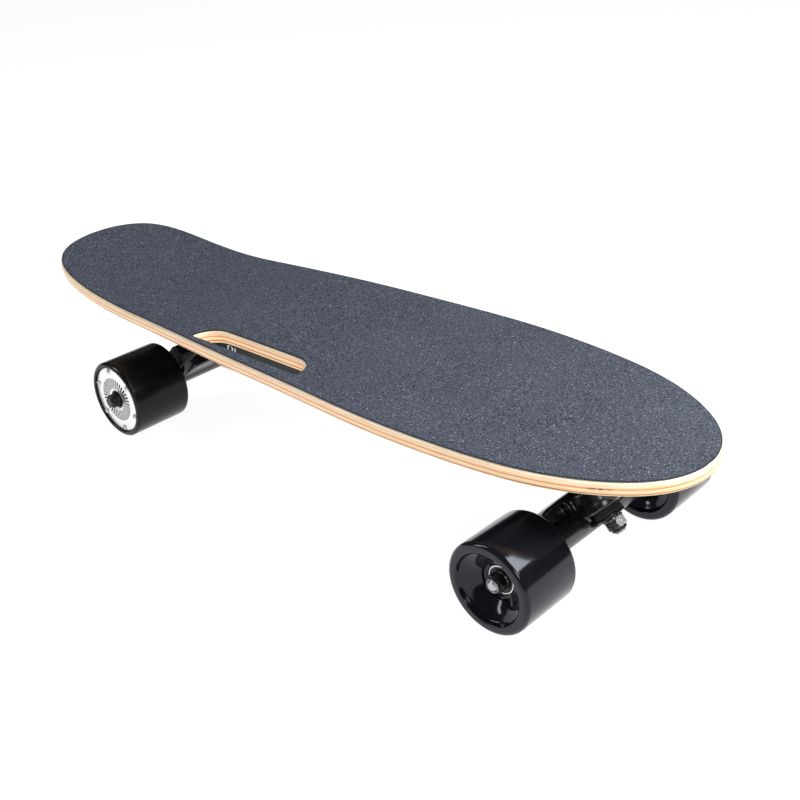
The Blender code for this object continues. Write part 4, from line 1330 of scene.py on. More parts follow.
@dataclass
class Truck:
    """One truck: baseplate, kingpin with its bushings, cast hanger and axle."""

    end: End
    height: float = 0.0620
    kingpin_angle: float = math.radians(45.0)
    ring_x: float = 0.0050
    ring_z: float = 0.0209
    ring_radius: float = 0.0170
    ring_half: float = 0.0060
    ring_bore: float = 0.0082
    room_radius: float = 0.0134
    collar_radius: float = 0.0166
    collar_end: float = -0.0112
    seat_depth: float = 0.0020
    pivot_reach: float = 0.0385
    pivot_radius: float = 0.0055
    socket_front: float = 0.0302
    bushing_height: float = 0.0140
    bushing_radius: float = 0.0112
    washer_radius: float = 0.0113
    washer_thickness: float = 0.0016
    swing_angles: tuple[float, ...] = (-18, -9, 0, 9, 18)
    kingpin_radius: float = 0.0046
    tube_radius: float = 0.0112
    plate_length: float = 0.080
    plate_width: float = 0.054
    plate_thickness: float = 0.0065
    plate_centre: float = 0.0035
    bolt_x: float = 0.0635
    bolt_y: float = 0.0413
    bolt_radius: float = 0.0024
    axle_radius: float = 0.0039
    axle_tip: float = 0.1112
    hub_axle_tip: float = 0.1100
    voxel: float = 0.00075

    def __post_init__(self) -> None:
        """Find the truck's two frames from its steering joint."""
        joint = joint_of(f"{self.end.value}_steer")
        along = Vector(joint["axis"]).normalized()
        self.side = 1 if along.x > 0 else -1
        across = Vector((0.0, float(self.side), 0.0))
        up = along.cross(across)
        self.steer = at(*joint["pos_m"]) @ Matrix((along, across, up)).transposed().to_4x4()
        tilt = Matrix.Rotation(-self.kingpin_angle, 4, "Y")
        self.steer_in_truck = at(self.ring_x, 0, self.ring_z) @ tilt
        self.truck = self.steer @ self.steer_in_truck.inverted()
        self.axle = self.steer_in_truck.inverted() @ Vector((0, 0, 0))
        self.motor = self.end is End.REAR
        self.hanger_body = f"{self.end.value}_hanger_body"

    @property
    def name(self) -> str:
        """The end's word, which starts the names of the truck's pieces."""
        return self.end.value

    def ends(self, plain: float, hub: float) -> tuple[float, float]:
        """How far something reaches on the truck's own right and left."""
        return plain, hub if self.motor else plain

    def build(self) -> None:
        """Make every piece of the truck."""
        self.build_riser()
        self.build_baseplate()
        self.build_pivot_cup()
        self.build_kingpin()
        self.build_bushings()
        self.build_hanger()
        self.build_axle()
        self.build_bolts()

    def build_riser(self) -> None:
        """The rubber wedge between the plate and the deck."""
        node = f"{self.name}_riser_pad"
        fit(refined(f"{self.name}_rubber_riser", node, RUBBER, 0.0006), "deck_body", "soft_rubber",
            node)

    def plate_outline(self) -> list[tuple]:
        """The plate seen from above, in the truck's frame."""
        half = self.plate_length / 2
        return rectangle((self.plate_centre - half, -self.plate_width / 2),
                         (self.plate_centre + half, self.plate_width / 2), 0.008)

    def build_baseplate(self) -> None:
        """The cast plate with the boss of the kingpin and the housing of the pivot."""
        top = self.height
        plate = prism(f"{self.name}_cast_baseplate", CASTING, self.plate_outline(),
                      top - self.plate_thickness, top)
        side = [(-0.0380, top - 0.003, 0), (-0.0340, 0.0440, 0.008), (-0.0290, 0.0350, 0.006),
                (-0.0197, 0.0258, 0.001), (0.0001, 0.0456, 0.004), (0.0100, 0.0520, 0.006),
                (0.0181, 0.0506, 0.002), (0.0320, 0.0367, 0.002), (0.0425, 0.0475, 0.008),
                (0.0415, top - 0.003, 0)]
        wedge = prism("wedge_tool", None, list(reversed(filleted(side))), -0.0125, 0.0125)
        fuse(plate, moved(wedge, Matrix.Rotation(math.radians(90), 4, "X")))
        seat = self.ring_half - self.seat_depth + self.bushing_height + self.washer_thickness + GAP
        fuse(plate, moved(rod("boss_tool", None, 0.0140, seat, seat + 0.019), self.steer_in_truck))
        socket = rod("socket_tool", None, 0.0118, 0.0275, 0.0445)
        fuse(plate, moved(socket, self.steer_in_truck @ UP_TO_FRONT))
        for sign in (-1, 1):
            rib = prism("rib_tool", None, rectangle((-0.036, sign * 0.019 - 0.0016),
                                                    (0.024, sign * 0.019 + 0.0016), 0.0015),
                        top - self.plate_thickness - 0.0035, top - 0.002)
            fuse(plate, rib)
        cut(plate, prism("trim_tool", None, rectangle((-0.08, -0.04), (0.06, 0.04), 0.001), top, 0.10))
        room = prism("room_tool", None, rectangle((-0.06, -0.04), (self.socket_front, 0.04), 0.001),
                     -0.05, 0.0172)
        cut(plate, moved(rod("bore_tool", None, self.kingpin_radius + GAP, 0.0, 0.040), self.steer_in_truck),
            moved(rod("cup_tool", None, 0.0092, 0.0200, self.pivot_reach + 0.0035),
                  self.steer_in_truck @ UP_TO_FRONT),
            moved(room, self.steer_in_truck),
            moved(rod("room_tool", None, 0.0150, -0.03, seat), self.steer_in_truck))
        for x, y in self.bolt_places():
            hole = rod("hole_tool", None, self.bolt_radius + GAP, 0.03, 0.08)
            cut(plate, moved(hole, at(x, y, 0)))
        moved(cast(plate, self.voxel, 5), self.truck)
        fit(plate, "deck_body", "black_casting", f"{self.name}_baseplate")

    def bolt_places(self) -> list[tuple[float, float]]:
        """(x, y) of the four bolts, in the truck's frame."""
        return [(self.plate_centre + dx * self.bolt_x, dy * self.bolt_y)
                for dx in (-0.5, 0.5) for dy in (-0.5, 0.5)]

    def build_pivot_cup(self) -> None:
        """The urethane cup that the hanger's nose turns in."""
        inner = self.pivot_radius + GAP
        tip = self.pivot_reach + GAP
        corners = [(0.0, tip + 0.0028, 0), (0.0088, tip + 0.0028, 0.001),
                   (0.0088, self.socket_front, 0.0004), (inner + 0.0012, self.socket_front, 0.0004),
                   (inner, tip - 0.0030, 0.001), (0.0036, tip, 0.001), (0.0, tip, 0)]
        cup = turned(f"{self.name}_pivot_bush", BUSHING, filleted(corners, 4))
        fit(moved(cup, self.steer @ UP_TO_FRONT), "deck_body", "bushing_urethane",
            f"{self.name}_pivot_cup")

    def build_kingpin(self) -> None:
        """The kingpin with its head, lock nut and two cupped washers."""
        seat = self.ring_half - self.seat_depth
        reach = seat + GAP + self.bushing_height + self.washer_thickness + GAP
        head = reach + 0.0104
        tip = -reach - 0.0125
        shank = self.thread("kingpin_shank", AXLE_STEEL, self.kingpin_radius, tip, -reach, 0.00115)
        bar = rod("kingpin_bar", BLACK_STEEL, self.kingpin_radius - 0.0001, -reach - 0.0002, head)
        cap = hex_nut("kingpin_head", BLACK_STEEL, 0.0143, head, head + 0.0055, 0.0010)
        pin = gather(f"{self.name}_kingpin_bolt", [bar, shank, cap])
        fit(moved(pin, self.steer), "deck_body", "black_steel", f"{self.name}_kingpin")
        low, high = -reach - 0.0085, -reach - GAP
        nut = hex_nut("nut_body", WORN_STEEL, 0.0145, low + 0.0002, high - 0.0011,
                      self.kingpin_radius + 0.0002, 0.35)
        flange = ring("nut_flange", WORN_STEEL, self.kingpin_radius + 0.0002, 0.0080, high - 0.0012,
                      high, 0.0003)
        collar = ring("nut_collar", BLACK_STEEL, self.kingpin_radius + 0.0001, 0.0060,
                      low - 0.0021, low + 0.0006, 0.0008)
        fit(moved(gather(f"{self.name}_kingpin_lock_nut", [nut, flange, collar]), self.steer),
            "deck_body", "black_steel", f"{self.name}_kingpin_nut")
        for side, sign in (("boardside", 1), ("roadside", -1)):
            self.build_washer(side, sign, seat + GAP + self.bushing_height)

    def build_washer(self, side: str, sign: int, start: float) -> None:
        """A cupped washer whose rim folds over the bushing.

        Args:
            side: The side of the ring that it lies on, in a word.
            sign: 1 above the ring, -1 below it.
            start: How far from the ring's middle it starts.
        """
        inner, outer = self.kingpin_radius + GAP, self.washer_radius
        thick = self.washer_thickness - GAP
        low = start + GAP / 2
        corners = [(inner, low + thick, 0.0003), (inner, low, 0.0002), (outer - 0.0012, low, 0.0002),
                   (outer - 0.0008, low - 0.0011, 0.0002), (outer, low - 0.0011, 0.0003),
                   (outer, low + thick - 0.0003, 0.0008), (outer - 0.002, low + thick, 0.0008)]
        washer = turned(f"{self.name}_{side}_cup_washer", BLACK_STEEL, filleted(corners, 4), 56)
        if sign < 0:
            moved(washer, OVER)
        fit(moved(washer, self.steer), "deck_body", "black_steel", f"{self.name}_{side}_washer")

    def build_bushings(self) -> None:
        """The barrel bushing above the ring and the cone below it."""
        seat = self.ring_half - self.seat_depth + GAP
        inner, wide, tall = self.kingpin_radius + GAP, self.bushing_radius, self.bushing_height
        barrel = [(inner, 0.0, 0.0004), (wide - 0.0004, 0.0, 0.0012), (wide, tall * 0.5, 0.02),
                  (wide - 0.0004, tall, 0.0012), (inner, tall, 0.0004)]
        cone = [(inner, 0.0, 0.0004), (wide - 0.0004, 0.0, 0.0010), (wide, 0.0025, 0.002),
                (wide - 0.0026, tall, 0.0010), (inner, tall, 0.0004)]
        for side, sign, profile in (("boardside", 1, barrel), ("roadside", -1, cone)):
            if side == "roadside":
                profile = [(r, tall - z, f) for r, z, f in reversed(profile)]
            bush = turned(f"{self.name}_{side}_urethane", BUSHING,
                          self.sliced(filleted(profile, 4)), 56)
            moved(bush, at(0, 0, seat))
            if sign < 0:
                moved(bush, OVER)
            moved(bush, self.steer)
            far = self.steer @ Vector((0, 0, sign * (seat + tall)))
            near = self.steer @ Vector((0, 0, sign * seat))
            flex(bush, ("deck_body", self.hanger_body), (far, near), "bushing_urethane",
                 f"{self.name}_{side}_bushing")

    @staticmethod
    def sliced(outline: Sequence[tuple], pitch: float = 0.002) -> list[tuple]:
        """The outline with points close enough together to bend.

        Args:
            outline: The points of the outline.
            pitch: The longest step in metres.

        Returns:
            The outline with more points.
        """
        result = []
        for i, here in enumerate(outline):
            after = outline[(i + 1) % len(outline)]
            parts = max(1, round(math.dist(here, after) / pitch))
            result += [(here[0] + (after[0] - here[0]) * k / parts,
                        here[1] + (after[1] - here[1]) * k / parts) for k in range(parts)]
        return result

    def wing_outline(self, ends: tuple[float, float]) -> list[tuple]:
        """The hanger's wing from the front: an arch over the axle tube.

        Args:
            ends: How far it reaches on the truck's right and left.

        Returns:
            The (y, z) points.
        """
        low = self.axle.z
        top = 0.0112
        corners = [(-ends[0], low - 0.004, 0.002), (ends[1], low - 0.004, 0.002),
                   (ends[1], low + 0.006, 0.004), (ends[1] - 0.004, top - 0.006, 0.006),
                   (ends[1] * 0.72, top - 0.0008, 0.012), (ends[1] * 0.40, top, 0.010),
                   (-ends[0] * 0.40, top, 0.010), (-ends[0] * 0.72, top - 0.0008, 0.012),
                   (-ends[0] + 0.004, top - 0.006, 0.006), (-ends[0], low + 0.006, 0.004)]
        return filleted(corners, 5)

    def build_hanger(self) -> None:
        """The cast hanger: axle tube, arched wing, ring and pivot nose."""
        ends = self.ends(0.0752, 0.0440)
        wings = self.ends(0.0540, 0.0340)
        axle_x, axle_z = self.axle.x, self.axle.z
        tube_profile = [(0.0, -ends[0], 0), (0.0084, -ends[0], 0.0012), (0.0088, -wings[0] - 0.006, 0.006),
                        (self.tube_radius, -wings[0] + 0.002, 0.006),
                        (self.tube_radius, wings[1] - 0.002, 0.006),
                        (0.0088, wings[1] + 0.006, 0.006), (0.0084, ends[1], 0.0012), (0.0, ends[1], 0)]
        hanger = turned(f"{self.name}_cast_hanger", CASTING, filleted(tube_profile, 3))
        moved(hanger, at(axle_x, 0, axle_z) @ UP_TO_LEFT)
        wing = prism("wing_tool", None, self.wing_outline(wings), axle_x - 0.0085, axle_x + 0.0075,
                     0.0030, 3)
        to_wing = Matrix(((0, 0, 1, 0), (1, 0, 0, 0), (0, 1, 0, 0), (0, 0, 0, 1)))
        fuse(hanger, moved(wing, to_wing))
        fuse(hanger, rod("ring_tool", None, self.ring_radius, -self.ring_half, self.ring_half, 0.001))
        fuse(hanger, rod("collar_tool", None, self.collar_radius, self.collar_end, 0.0, 0.001))
        bridge = prism("bridge_tool", None, rectangle((axle_x + 0.004, -0.015), (0.0, 0.015), 0.001),
                       -self.ring_half, self.ring_half)
        fuse(hanger, bridge)
        reach = self.pivot_reach
        nose = [(0.0, 0.0130, 0), (0.0098, 0.0130, 0), (0.0098, 0.0240, 0.003),
                (self.pivot_radius + 0.0010, 0.0275, 0.002), (self.pivot_radius, reach - 0.003, 0.002),
                (0.0034, reach, 0.001), (0.0, reach, 0)]
        fuse(hanger, moved(turned("nose_tool", None, filleted(nose, 4)), UP_TO_FRONT))
        cut(hanger, rod("bore_tool", None, self.ring_bore, -0.03, 0.03))
        seat = self.ring_half - self.seat_depth
        for low, high in ((-0.03, -seat), (seat, 0.03)):
            cut(hanger, rod("seat_tool", None, self.room_radius, low, high))
        for turn in self.swing_angles:
            swing = rod("swing_tool", None, self.washer_radius + 0.0009, -0.040, -0.0160)
            cut(hanger, moved(swing, Matrix.Rotation(math.radians(turn), 4, "X")))
        for sign, end in ((-1, wings[0]), (1, wings[1])):
            self.cut_pocket(hanger, sign, end)
        if self.motor:
            fuse(hanger, self.motor_shoulder(wings[1]))
        hole = rod("hole_tool", None, self.axle_radius + GAP, -0.2, 0.2)
        cut(hanger, moved(hole, at(axle_x, 0, axle_z) @ UP_TO_LEFT))
        moved(cast(hanger, self.voxel, 6), self.steer)
        fit(hanger, self.hanger_body, "black_casting", f"{self.name}_hanger")

    def motor_shoulder(self, end: float) -> Piece:
        """The raised shoulder beside the motor, which carries the load of its axle.

        Args:
            end: How far out it reaches.

        Returns:
            The shoulder, in the steering frame.
        """
        side = [(-0.0268, -0.0120, 0.004), (0.0015, -0.0060, 0.006), (0.0012, 0.0108, 0.006),
                (-0.0095, 0.0150, 0.006), (-0.0240, 0.0072, 0.010)]
        block = prism("shoulder_tool", None, filleted(side), 0.0180, end + 0.0005)
        return moved(block, Matrix(((1, 0, 0, 0), (0, 0, 1, 0), (0, 1, 0, 0), (0, 0, 0, 1))))

    def cut_pocket(self, hanger: Piece, sign: int, end: float) -> None:
        """A weight-saving pocket with a boss in the front face of the wing, on one side.

        Args:
            hanger: The hanger.
            sign: 1 for the truck's left, -1 for its right.
            end: How far the wing reaches on that side.
        """
        start = 0.0195
        to_front = Matrix(((0, 0, 1, 0), (sign, 0, 0, 0), (0, 1, 0, 0), (0, 0, 0, 1)))
        outline = rectangle((start, -0.0030), (end - 0.0042, 0.0074), 0.0042)
        pocket = prism("pocket_tool", None, outline, self.axle.x + 0.0005, self.axle.x + 0.03)
        cut(hanger, moved(pocket, to_front))
        boss = rod("boss_tool", None, 0.0034, self.axle.x - 0.002, self.axle.x + 0.0050, 0.001)
        fuse(hanger, moved(boss, to_front @ at(end - 0.0105, 0.0022, 0)))

    @staticmethod
    def thread(name: str, finish: Finish, radius: float, low: float, high: float,
               pitch: float) -> Piece:
        """A threaded bar along Z, as rings of ridges with a chamfered tip.

        Args:
            name: The bar's name.
            finish: Its finish.
            radius: Its outer radius.
            low: The height of its tip.
            high: The height of its other end.
            pitch: Height of one ridge.

        Returns:
            The bar.
        """
        profile = [(0.0, low), (radius - 0.0010, low), (radius - 0.0004, low + 0.0006)]
        place = low + 0.0008
        while place + pitch < high:
            profile += [(radius - 0.00045, place), (radius, place + pitch * 0.5)]
            place += pitch
        profile += [(radius - 0.0002, high), (0.0, high)]
        return turned(name, finish, profile, 40, 25.0)

    def build_axle(self) -> None:
        """The through axle with its threaded ends."""
        near, far = self.ends(self.axle_tip, self.hub_axle_tip)
        thread = 0.020
        bar = rod("axle_bar", AXLE_STEEL, self.axle_radius - 0.0001, -near + thread, far - thread)
        pieces = [bar]
        radii = (self.axle_radius, 0.0052 if self.motor else self.axle_radius)
        for sign, tip, radius in ((-1, near, radii[0]), (1, far, radii[1])):
            start = tip - 0.066 if self.motor and sign > 0 else tip - thread
            if self.motor and sign > 0:
                sleeve = rod("axle_sleeve", AXLE_STEEL, radius - 0.0001, start, tip - thread + 0.0002)
                pieces.append(sleeve)
                start = tip - thread
            finish = BLACK_STEEL if self.motor and sign > 0 else AXLE_STEEL
            screw = self.thread("axle_thread", finish, radius, -tip, -start, 0.0010)
            pieces.append(screw if sign < 0 else moved(screw, OVER))
        axle = gather(f"{self.name}_steel_axle", pieces)
        fit(moved(axle, self.truck @ UP_TO_LEFT), self.hanger_body, "axle_steel", f"{self.name}_axle")

    def build_bolts(self) -> None:
        """The eight countersunk bolts with their lock nuts, four to a truck."""
        low = self.height - self.plate_thickness
        for x, y in self.bolt_places():
            place = "outer" if x > self.plate_centre else "inner"
            hand = Hand.LEFT if y * self.side > 0 else Hand.RIGHT
            name = f"{self.name}_{place}_{hand.word}_bolt"
            top = self.bolt_top(name)
            corners = [(0.0, low - 0.0085, 0), (self.bolt_radius, low - 0.0085, 0.0005),
                       (self.bolt_radius, top - 0.0032, 0.0003), (0.0051, top - 0.0006, 0.0002),
                       (0.0051, top, 0.0002), (0.0022, top, 0.0001), (0.0018, top - 0.0022, 0.0001),
                       (0.0, top - 0.0022, 0)]
            bolt = turned("bolt_body", BLACK_STEEL, filleted(corners, 2), 32)
            nut = hex_nut("bolt_nut", BLACK_STEEL, 0.0092, low - 0.0050, low - GAP,
                          self.bolt_radius + 0.0001, 0.3)
            insert = ring("bolt_insert", SEAL, self.bolt_radius, 0.0036, low - 0.0058, low - 0.0048,
                          0.0003, 32)
            made = gather(f"{name}_set", [bolt, nut, insert])
            moved(made, self.truck @ at(x, y, 0))
            fit(made, "deck_body", "black_steel", name)

    def bolt_top(self, node: str) -> float:
        """How high a bolt's head stands, in the truck's frame."""
        back = self.truck.inverted()
        return max((back @ v.co).z for v in frame["nodes"][node].data.vertices)


# ------------------------------------------------------------------ wheels


@dataclass
class Wheel:
    """A urethane wheel on two sealed bearings, with its spacer, speed rings and lock nut."""

    end: End
    hand: Hand
    width: float = 0.0540
    bearing_radius: float = 0.0110
    bearing_bore: float = 0.0042
    bearing_width: float = 0.0070
    spacer_width: float = 0.0100
    steps: int = 120

    def __post_init__(self) -> None:
        """Find the wheel's centre and radius from its joint and its CAD node."""
        self.centre = Vector(joint_of(f"{self.name}_spin")["pos_m"])
        low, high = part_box(f"{self.name}_wheel")
        self.radius = (high.z - low.z) / 2
        self.place = at(*self.centre) @ self.hand.turn
        self.body = f"{self.name}_wheel_body"

    @property
    def name(self) -> str:
        """The wheel's corner of the board, in words."""
        return f"{self.end.value}_{self.hand.word}"

    def build(self) -> None:
        """Make every piece of the wheel."""
        self.build_tyre()
        for word, sign in (("inner", -1), ("outer", 1)):
            self.build_bearing(word, sign)
        half = self.spacer_width / 2 - GAP
        spacer = ring(f"{self.name}_bearing_spacer", ALLOY, self.bearing_bore, 0.0060, -half, half)
        fit(moved(spacer, self.place), self.body, "alloy", f"{self.name}_spacer")
        self.build_nut()

    def build_tyre(self) -> None:
        """The wheel itself, with a dished face round each bearing."""
        half = self.width / 2
        face = self.spacer_width / 2 + self.bearing_width
        shelf = self.spacer_width / 2 - GAP
        seat = self.bearing_radius + 0.0002
        radius = self.radius
        upper = [(0.0082, shelf, 0.0002), (seat, shelf, 0.0002), (seat, face + 0.0003, 0.0003),
                 (0.0134, face + 0.0012, 0.0010), (0.0142, face + 0.0030, 0.0012),
                 (0.0205, half - 0.0062, 0.030), (0.0262, half - 0.0032, 0.0022),
                 (0.0277, half, 0.0009), (radius, half, 0.0046)]
        corners = [(r, -z, f) for r, z, f in upper] + [(r, z, f) for r, z, f in reversed(upper)]
        tyre = turned(f"{self.name}_urethane_wheel", URETHANE, filleted(corners, 7), self.steps)
        fit(moved(tyre, self.place), self.body, "wheel_urethane", f"{self.name}_wheel")

    def build_bearing(self, word: str, sign: int) -> None:
        """A sealed bearing: two races and the seal between them.

        Args:
            word: The bearing's place in a word.
            sign: 1 on the outer side, -1 on the inner one.
        """
        half = self.bearing_width / 2
        centre = sign * (self.spacer_width + self.bearing_width) / 2
        outer = ring("race", RACE_STEEL, 0.0097, self.bearing_radius, -half, half, 0.0004, 72)
        inner = ring("race", RACE_STEEL, self.bearing_bore, 0.0058, -half, half, 0.0004, 48)
        corners = [(0.0057, half - 0.0014, 0), (0.0098, half - 0.0014, 0),
                   (0.0098, half - 0.0003, 0.0002), (0.0088, half - 0.0002, 0.0003),
                   (0.0072, half - 0.0006, 0.0005), (0.0057, half - 0.0006, 0.0001)]
        seals = [turned("seal", SEAL, filleted(corners, 3), 56) for _ in Hand]
        moved(seals[1], OVER)
        made = gather(f"{self.name}_{word}_sealed_bearing", [outer, inner, *seals])
        moved(made, self.place @ at(0, 0, centre))
        fit(shade(made, 30.0), self.body, "bearing_steel", f"{self.name}_{word}_bearing")

    def build_nut(self) -> None:
        """The axle's lock nut with its collar, and the speed ring under it."""
        start = self.spacer_width / 2 + self.bearing_width + 0.0008
        bore = 0.0041
        nut = hex_nut("nut_body", BLACK_STEEL, 0.0127, start + 0.0003, start + 0.0060, bore, 0.2)
        collar = ring("nut_collar", WORN_STEEL, bore, 0.0055, start + 0.0056, start + 0.0085,
                      0.0007, 48)
        washer = ring("speed_ring", BLACK_STEEL, bore, 0.0056, start - 0.0006, start + 0.0003,
                      0.0002, 48)
        made = gather(f"{self.name}_lock_nut", [nut, collar, washer])
        fit(moved(made, self.place), f"{self.end.value}_hanger_body", "black_steel",
            f"{self.name}_axle_nut")


@dataclass
class HubMotor:
    """The driven wheel: tyre, rotor can, vented cover, stator, bearing and nut."""

    width: float = 0.0570
    radius: float = 0.0360
    can_radius: float = 0.0310
    cover_thickness: float = 0.0030
    cover_recess: float = 0.0016
    vents: int = 36
    vent_inner: float = 0.0107
    vent_outer: float = 0.0210
    screws: int = 6
    screw_circle: float = 0.0277
    screw_phase: float = math.radians(40.0)
    teeth: int = 12

    def __post_init__(self) -> None:
        """Find the motor's centre from its joint."""
        self.centre = Vector(joint_of("motor_spin")["pos_m"])
        self.place = at(*self.centre) @ UP_TO_RIGHT
        self.body = "motor_wheel_body"
        self.half = self.width / 2
        self.face = self.half - self.cover_recess

    def build(self) -> None:
        """Make every piece of the motor."""
        self.build_tyre()
        self.build_can()
        self.build_cover()
        self.build_screws()
        self.build_bearing()
        self.build_stator()
        self.build_nut()

    def build_tyre(self) -> None:
        """The urethane sleeve on the can, its rims rounded."""
        bore = self.can_radius + GAP
        lip = self.half
        corners = [(bore, -lip, 0.0005), (0.0334, -lip, 0.0012), (self.radius, -lip + 0.0012, 0.0040),
                   (self.radius, lip - 0.0012, 0.0040), (0.0334, lip, 0.0012), (bore, lip, 0.0005)]
        tyre = turned("motor_urethane_tyre", TYRE, filleted(corners, 6), 120)
        fit(moved(tyre, self.place), self.body, "wheel_urethane", "motor_tyre")

    def build_can(self) -> None:
        """The rotor can, open to the cover, with a ribbed back."""
        wall = self.can_radius - 0.0035
        rim = self.face - self.cover_thickness - GAP
        back = -self.half + 0.0012
        corners = [(0.0086, back, 0.0004), (self.can_radius, back, 0.0010),
                   (self.can_radius, rim, 0.0003), (wall, rim, 0.0003), (wall, back + 0.0038, 0.001),
                   (0.0086, back + 0.0038, 0.0004)]
        # The can's near-black colour is painted shade inside the motor.
        can = turned("motor_rotor_can", CAN_ALLOY_PAINTED_SHADE, filleted(corners, 4), 96)
        fit(moved(can, self.place), self.body, "can_alloy", "motor_can")

    def vent_tools(self) -> Piece:
        """The radial slots of the cover as one cutter.

        Returns:
            The cutter.
        """
        points, faces = [], []
        profile = filleted([(self.vent_inner, -0.00055, 0.0003), (self.vent_outer, -0.00105, 0.0007),
                            (self.vent_outer, 0.00105, 0.0007), (self.vent_inner, 0.00055, 0.0003)], 3)
        count = len(profile)
        for i in range(self.vents):
            turn = Matrix.Rotation(2 * math.pi * i / self.vents, 3, "Z")
            base = len(points)
            for z in (self.face - 0.006, self.face + 0.003):
                points += [turn @ Vector((x, y, z)) for x, y in profile]
            faces.append([base + k for k in reversed(range(count))])
            faces.append([base + count + k for k in range(count)])
            faces += [(base + k, base + (k + 1) % count, base + count + (k + 1) % count,
                       base + count + k) for k in range(count)]
        return new_piece("vent_tool", mesh_of("vent_tool", points, faces))

    def build_cover(self) -> None:
        """The bright cover with its ring of slots and a stepped centre."""
        low = self.face - self.cover_thickness
        thin = self.face - 0.0009
        corners = [(0.0084, low, 0.0002), (0.0104, low, 0.0002), (0.0104, thin, 0.0003),
                   (0.0225, thin, 0.0003), (0.0225, low, 0.0003), (self.can_radius - 0.0002, low, 0.0003),
                   (self.can_radius - 0.0002, self.face, 0.0006), (0.0100, self.face, 0.0005),
                   (0.0084, self.face - 0.0007, 0.0003)]
        finish = TurnedMetal("bright_cover_alloy", (0.90, 0.91, 0.93), 0.30, metallic=0.85, rub=0.08,
                             drift=0.06, grain_depth=0.000012, axis=tuple(self.centre))
        cover = turned("motor_vented_cover", finish, filleted(corners, 3), 108)
        cut(cover, self.vent_tools())
        fit(moved(shade(cover, 30.0), self.place), self.body, "cover_alloy", "motor_cover")

    def build_screws(self) -> None:
        """Button-head screws with hex sockets round the cover, each socket's floor a dark disc of painted
        shade.
        """
        screws = []
        for i in range(self.screws):
            corners = [(0.0, -0.002, 0), (0.0016, -0.002, 0), (0.0016, 0.0, 0), (0.0026, 0.0, 0.0002),
                       (0.0024, 0.0010, 0.0009), (0.0013, 0.0014, 0.0003), (0.0, 0.0014, 0)]
            head = turned("cover_screw", RACE_STEEL, filleted(corners, 4), 32)
            cut(head, prism("socket_tool", None, hexagon(0.0017, 0.3 + i), 0.0003, 0.004))
            # Painted shade: a dark hex disc at the floor of each socket.
            well = prism("cover_well", SEAL, hexagon(0.00168, 0.3 + i), 0.0001, 0.00035)
            turn = self.screw_phase + 2 * math.pi * i / self.screws
            reach = self.screw_circle
            spot = at(reach * math.cos(turn), reach * math.sin(turn), self.face)
            screws += [moved(shade(head, 30.0), spot), moved(well, spot)]
        made = gather("motor_cover_screws", screws)
        fit(moved(made, self.place), self.body, "bearing_steel")

    def build_bearing(self) -> None:
        """The bearing behind the cover."""
        outer = ring("race", RACE_STEEL, 0.0097, 0.0110, -0.003, 0.003, 0.0003, 56)
        inner = ring("race", RACE_STEEL, 0.0055, 0.0068, -0.003, 0.003, 0.0003, 48)
        seal = ring("seal", SEAL, 0.0066, 0.0099, -0.0026, 0.0026, 0.0003, 48)
        made = gather("motor_sealed_bearing", [outer, inner, seal])
        moved(made, self.place @ at(0, 0, self.face - self.cover_thickness - 0.0034))
        fit(made, self.body, "bearing_steel", "motor_bearing")

    def build_stator(self) -> None:
        """The stator: a toothed sheet stack with a copper coil on every tooth."""
        # The core takes the can's near-black colour as painted shade behind the vents.
        core = refined("stator_core", "motor_stator", CAN_ALLOY_PAINTED_SHADE, 0.0)
        coils = []
        for i in range(self.teeth):
            turn = 2 * math.pi * i / self.teeth
            coil = prism("coil", COPPER, rectangle((0.0155, -0.0026), (0.0222, 0.0026), 0.0012, 3),
                         -0.0168, 0.0148, 0.0010)
            coils.append(moved(coil, self.place @ Matrix.Rotation(turn, 4, "Z")))
        made = gather("motor_wound_stator", [core, *coils])
        fit(made, "rear_hanger_body", "winding_copper", "motor_stator")

    def build_nut(self) -> None:
        """The lock nut on the hollow axle."""
        start = self.half - 0.0040
        bore = 0.0054
        nut = hex_nut("nut_body", BLACK_STEEL, 0.0127, start + 0.0003, start + 0.0062, bore, 0.5)
        collar = ring("nut_collar", BLACK_STEEL, bore, 0.0062, start + 0.0058, start + 0.0085, 0.0006)
        made = gather("motor_lock_nut", [nut, collar])
        fit(moved(made, self.place), "rear_hanger_body", "black_steel", "motor_axle_nut")


# ------------------------------------------------------------------ electronics


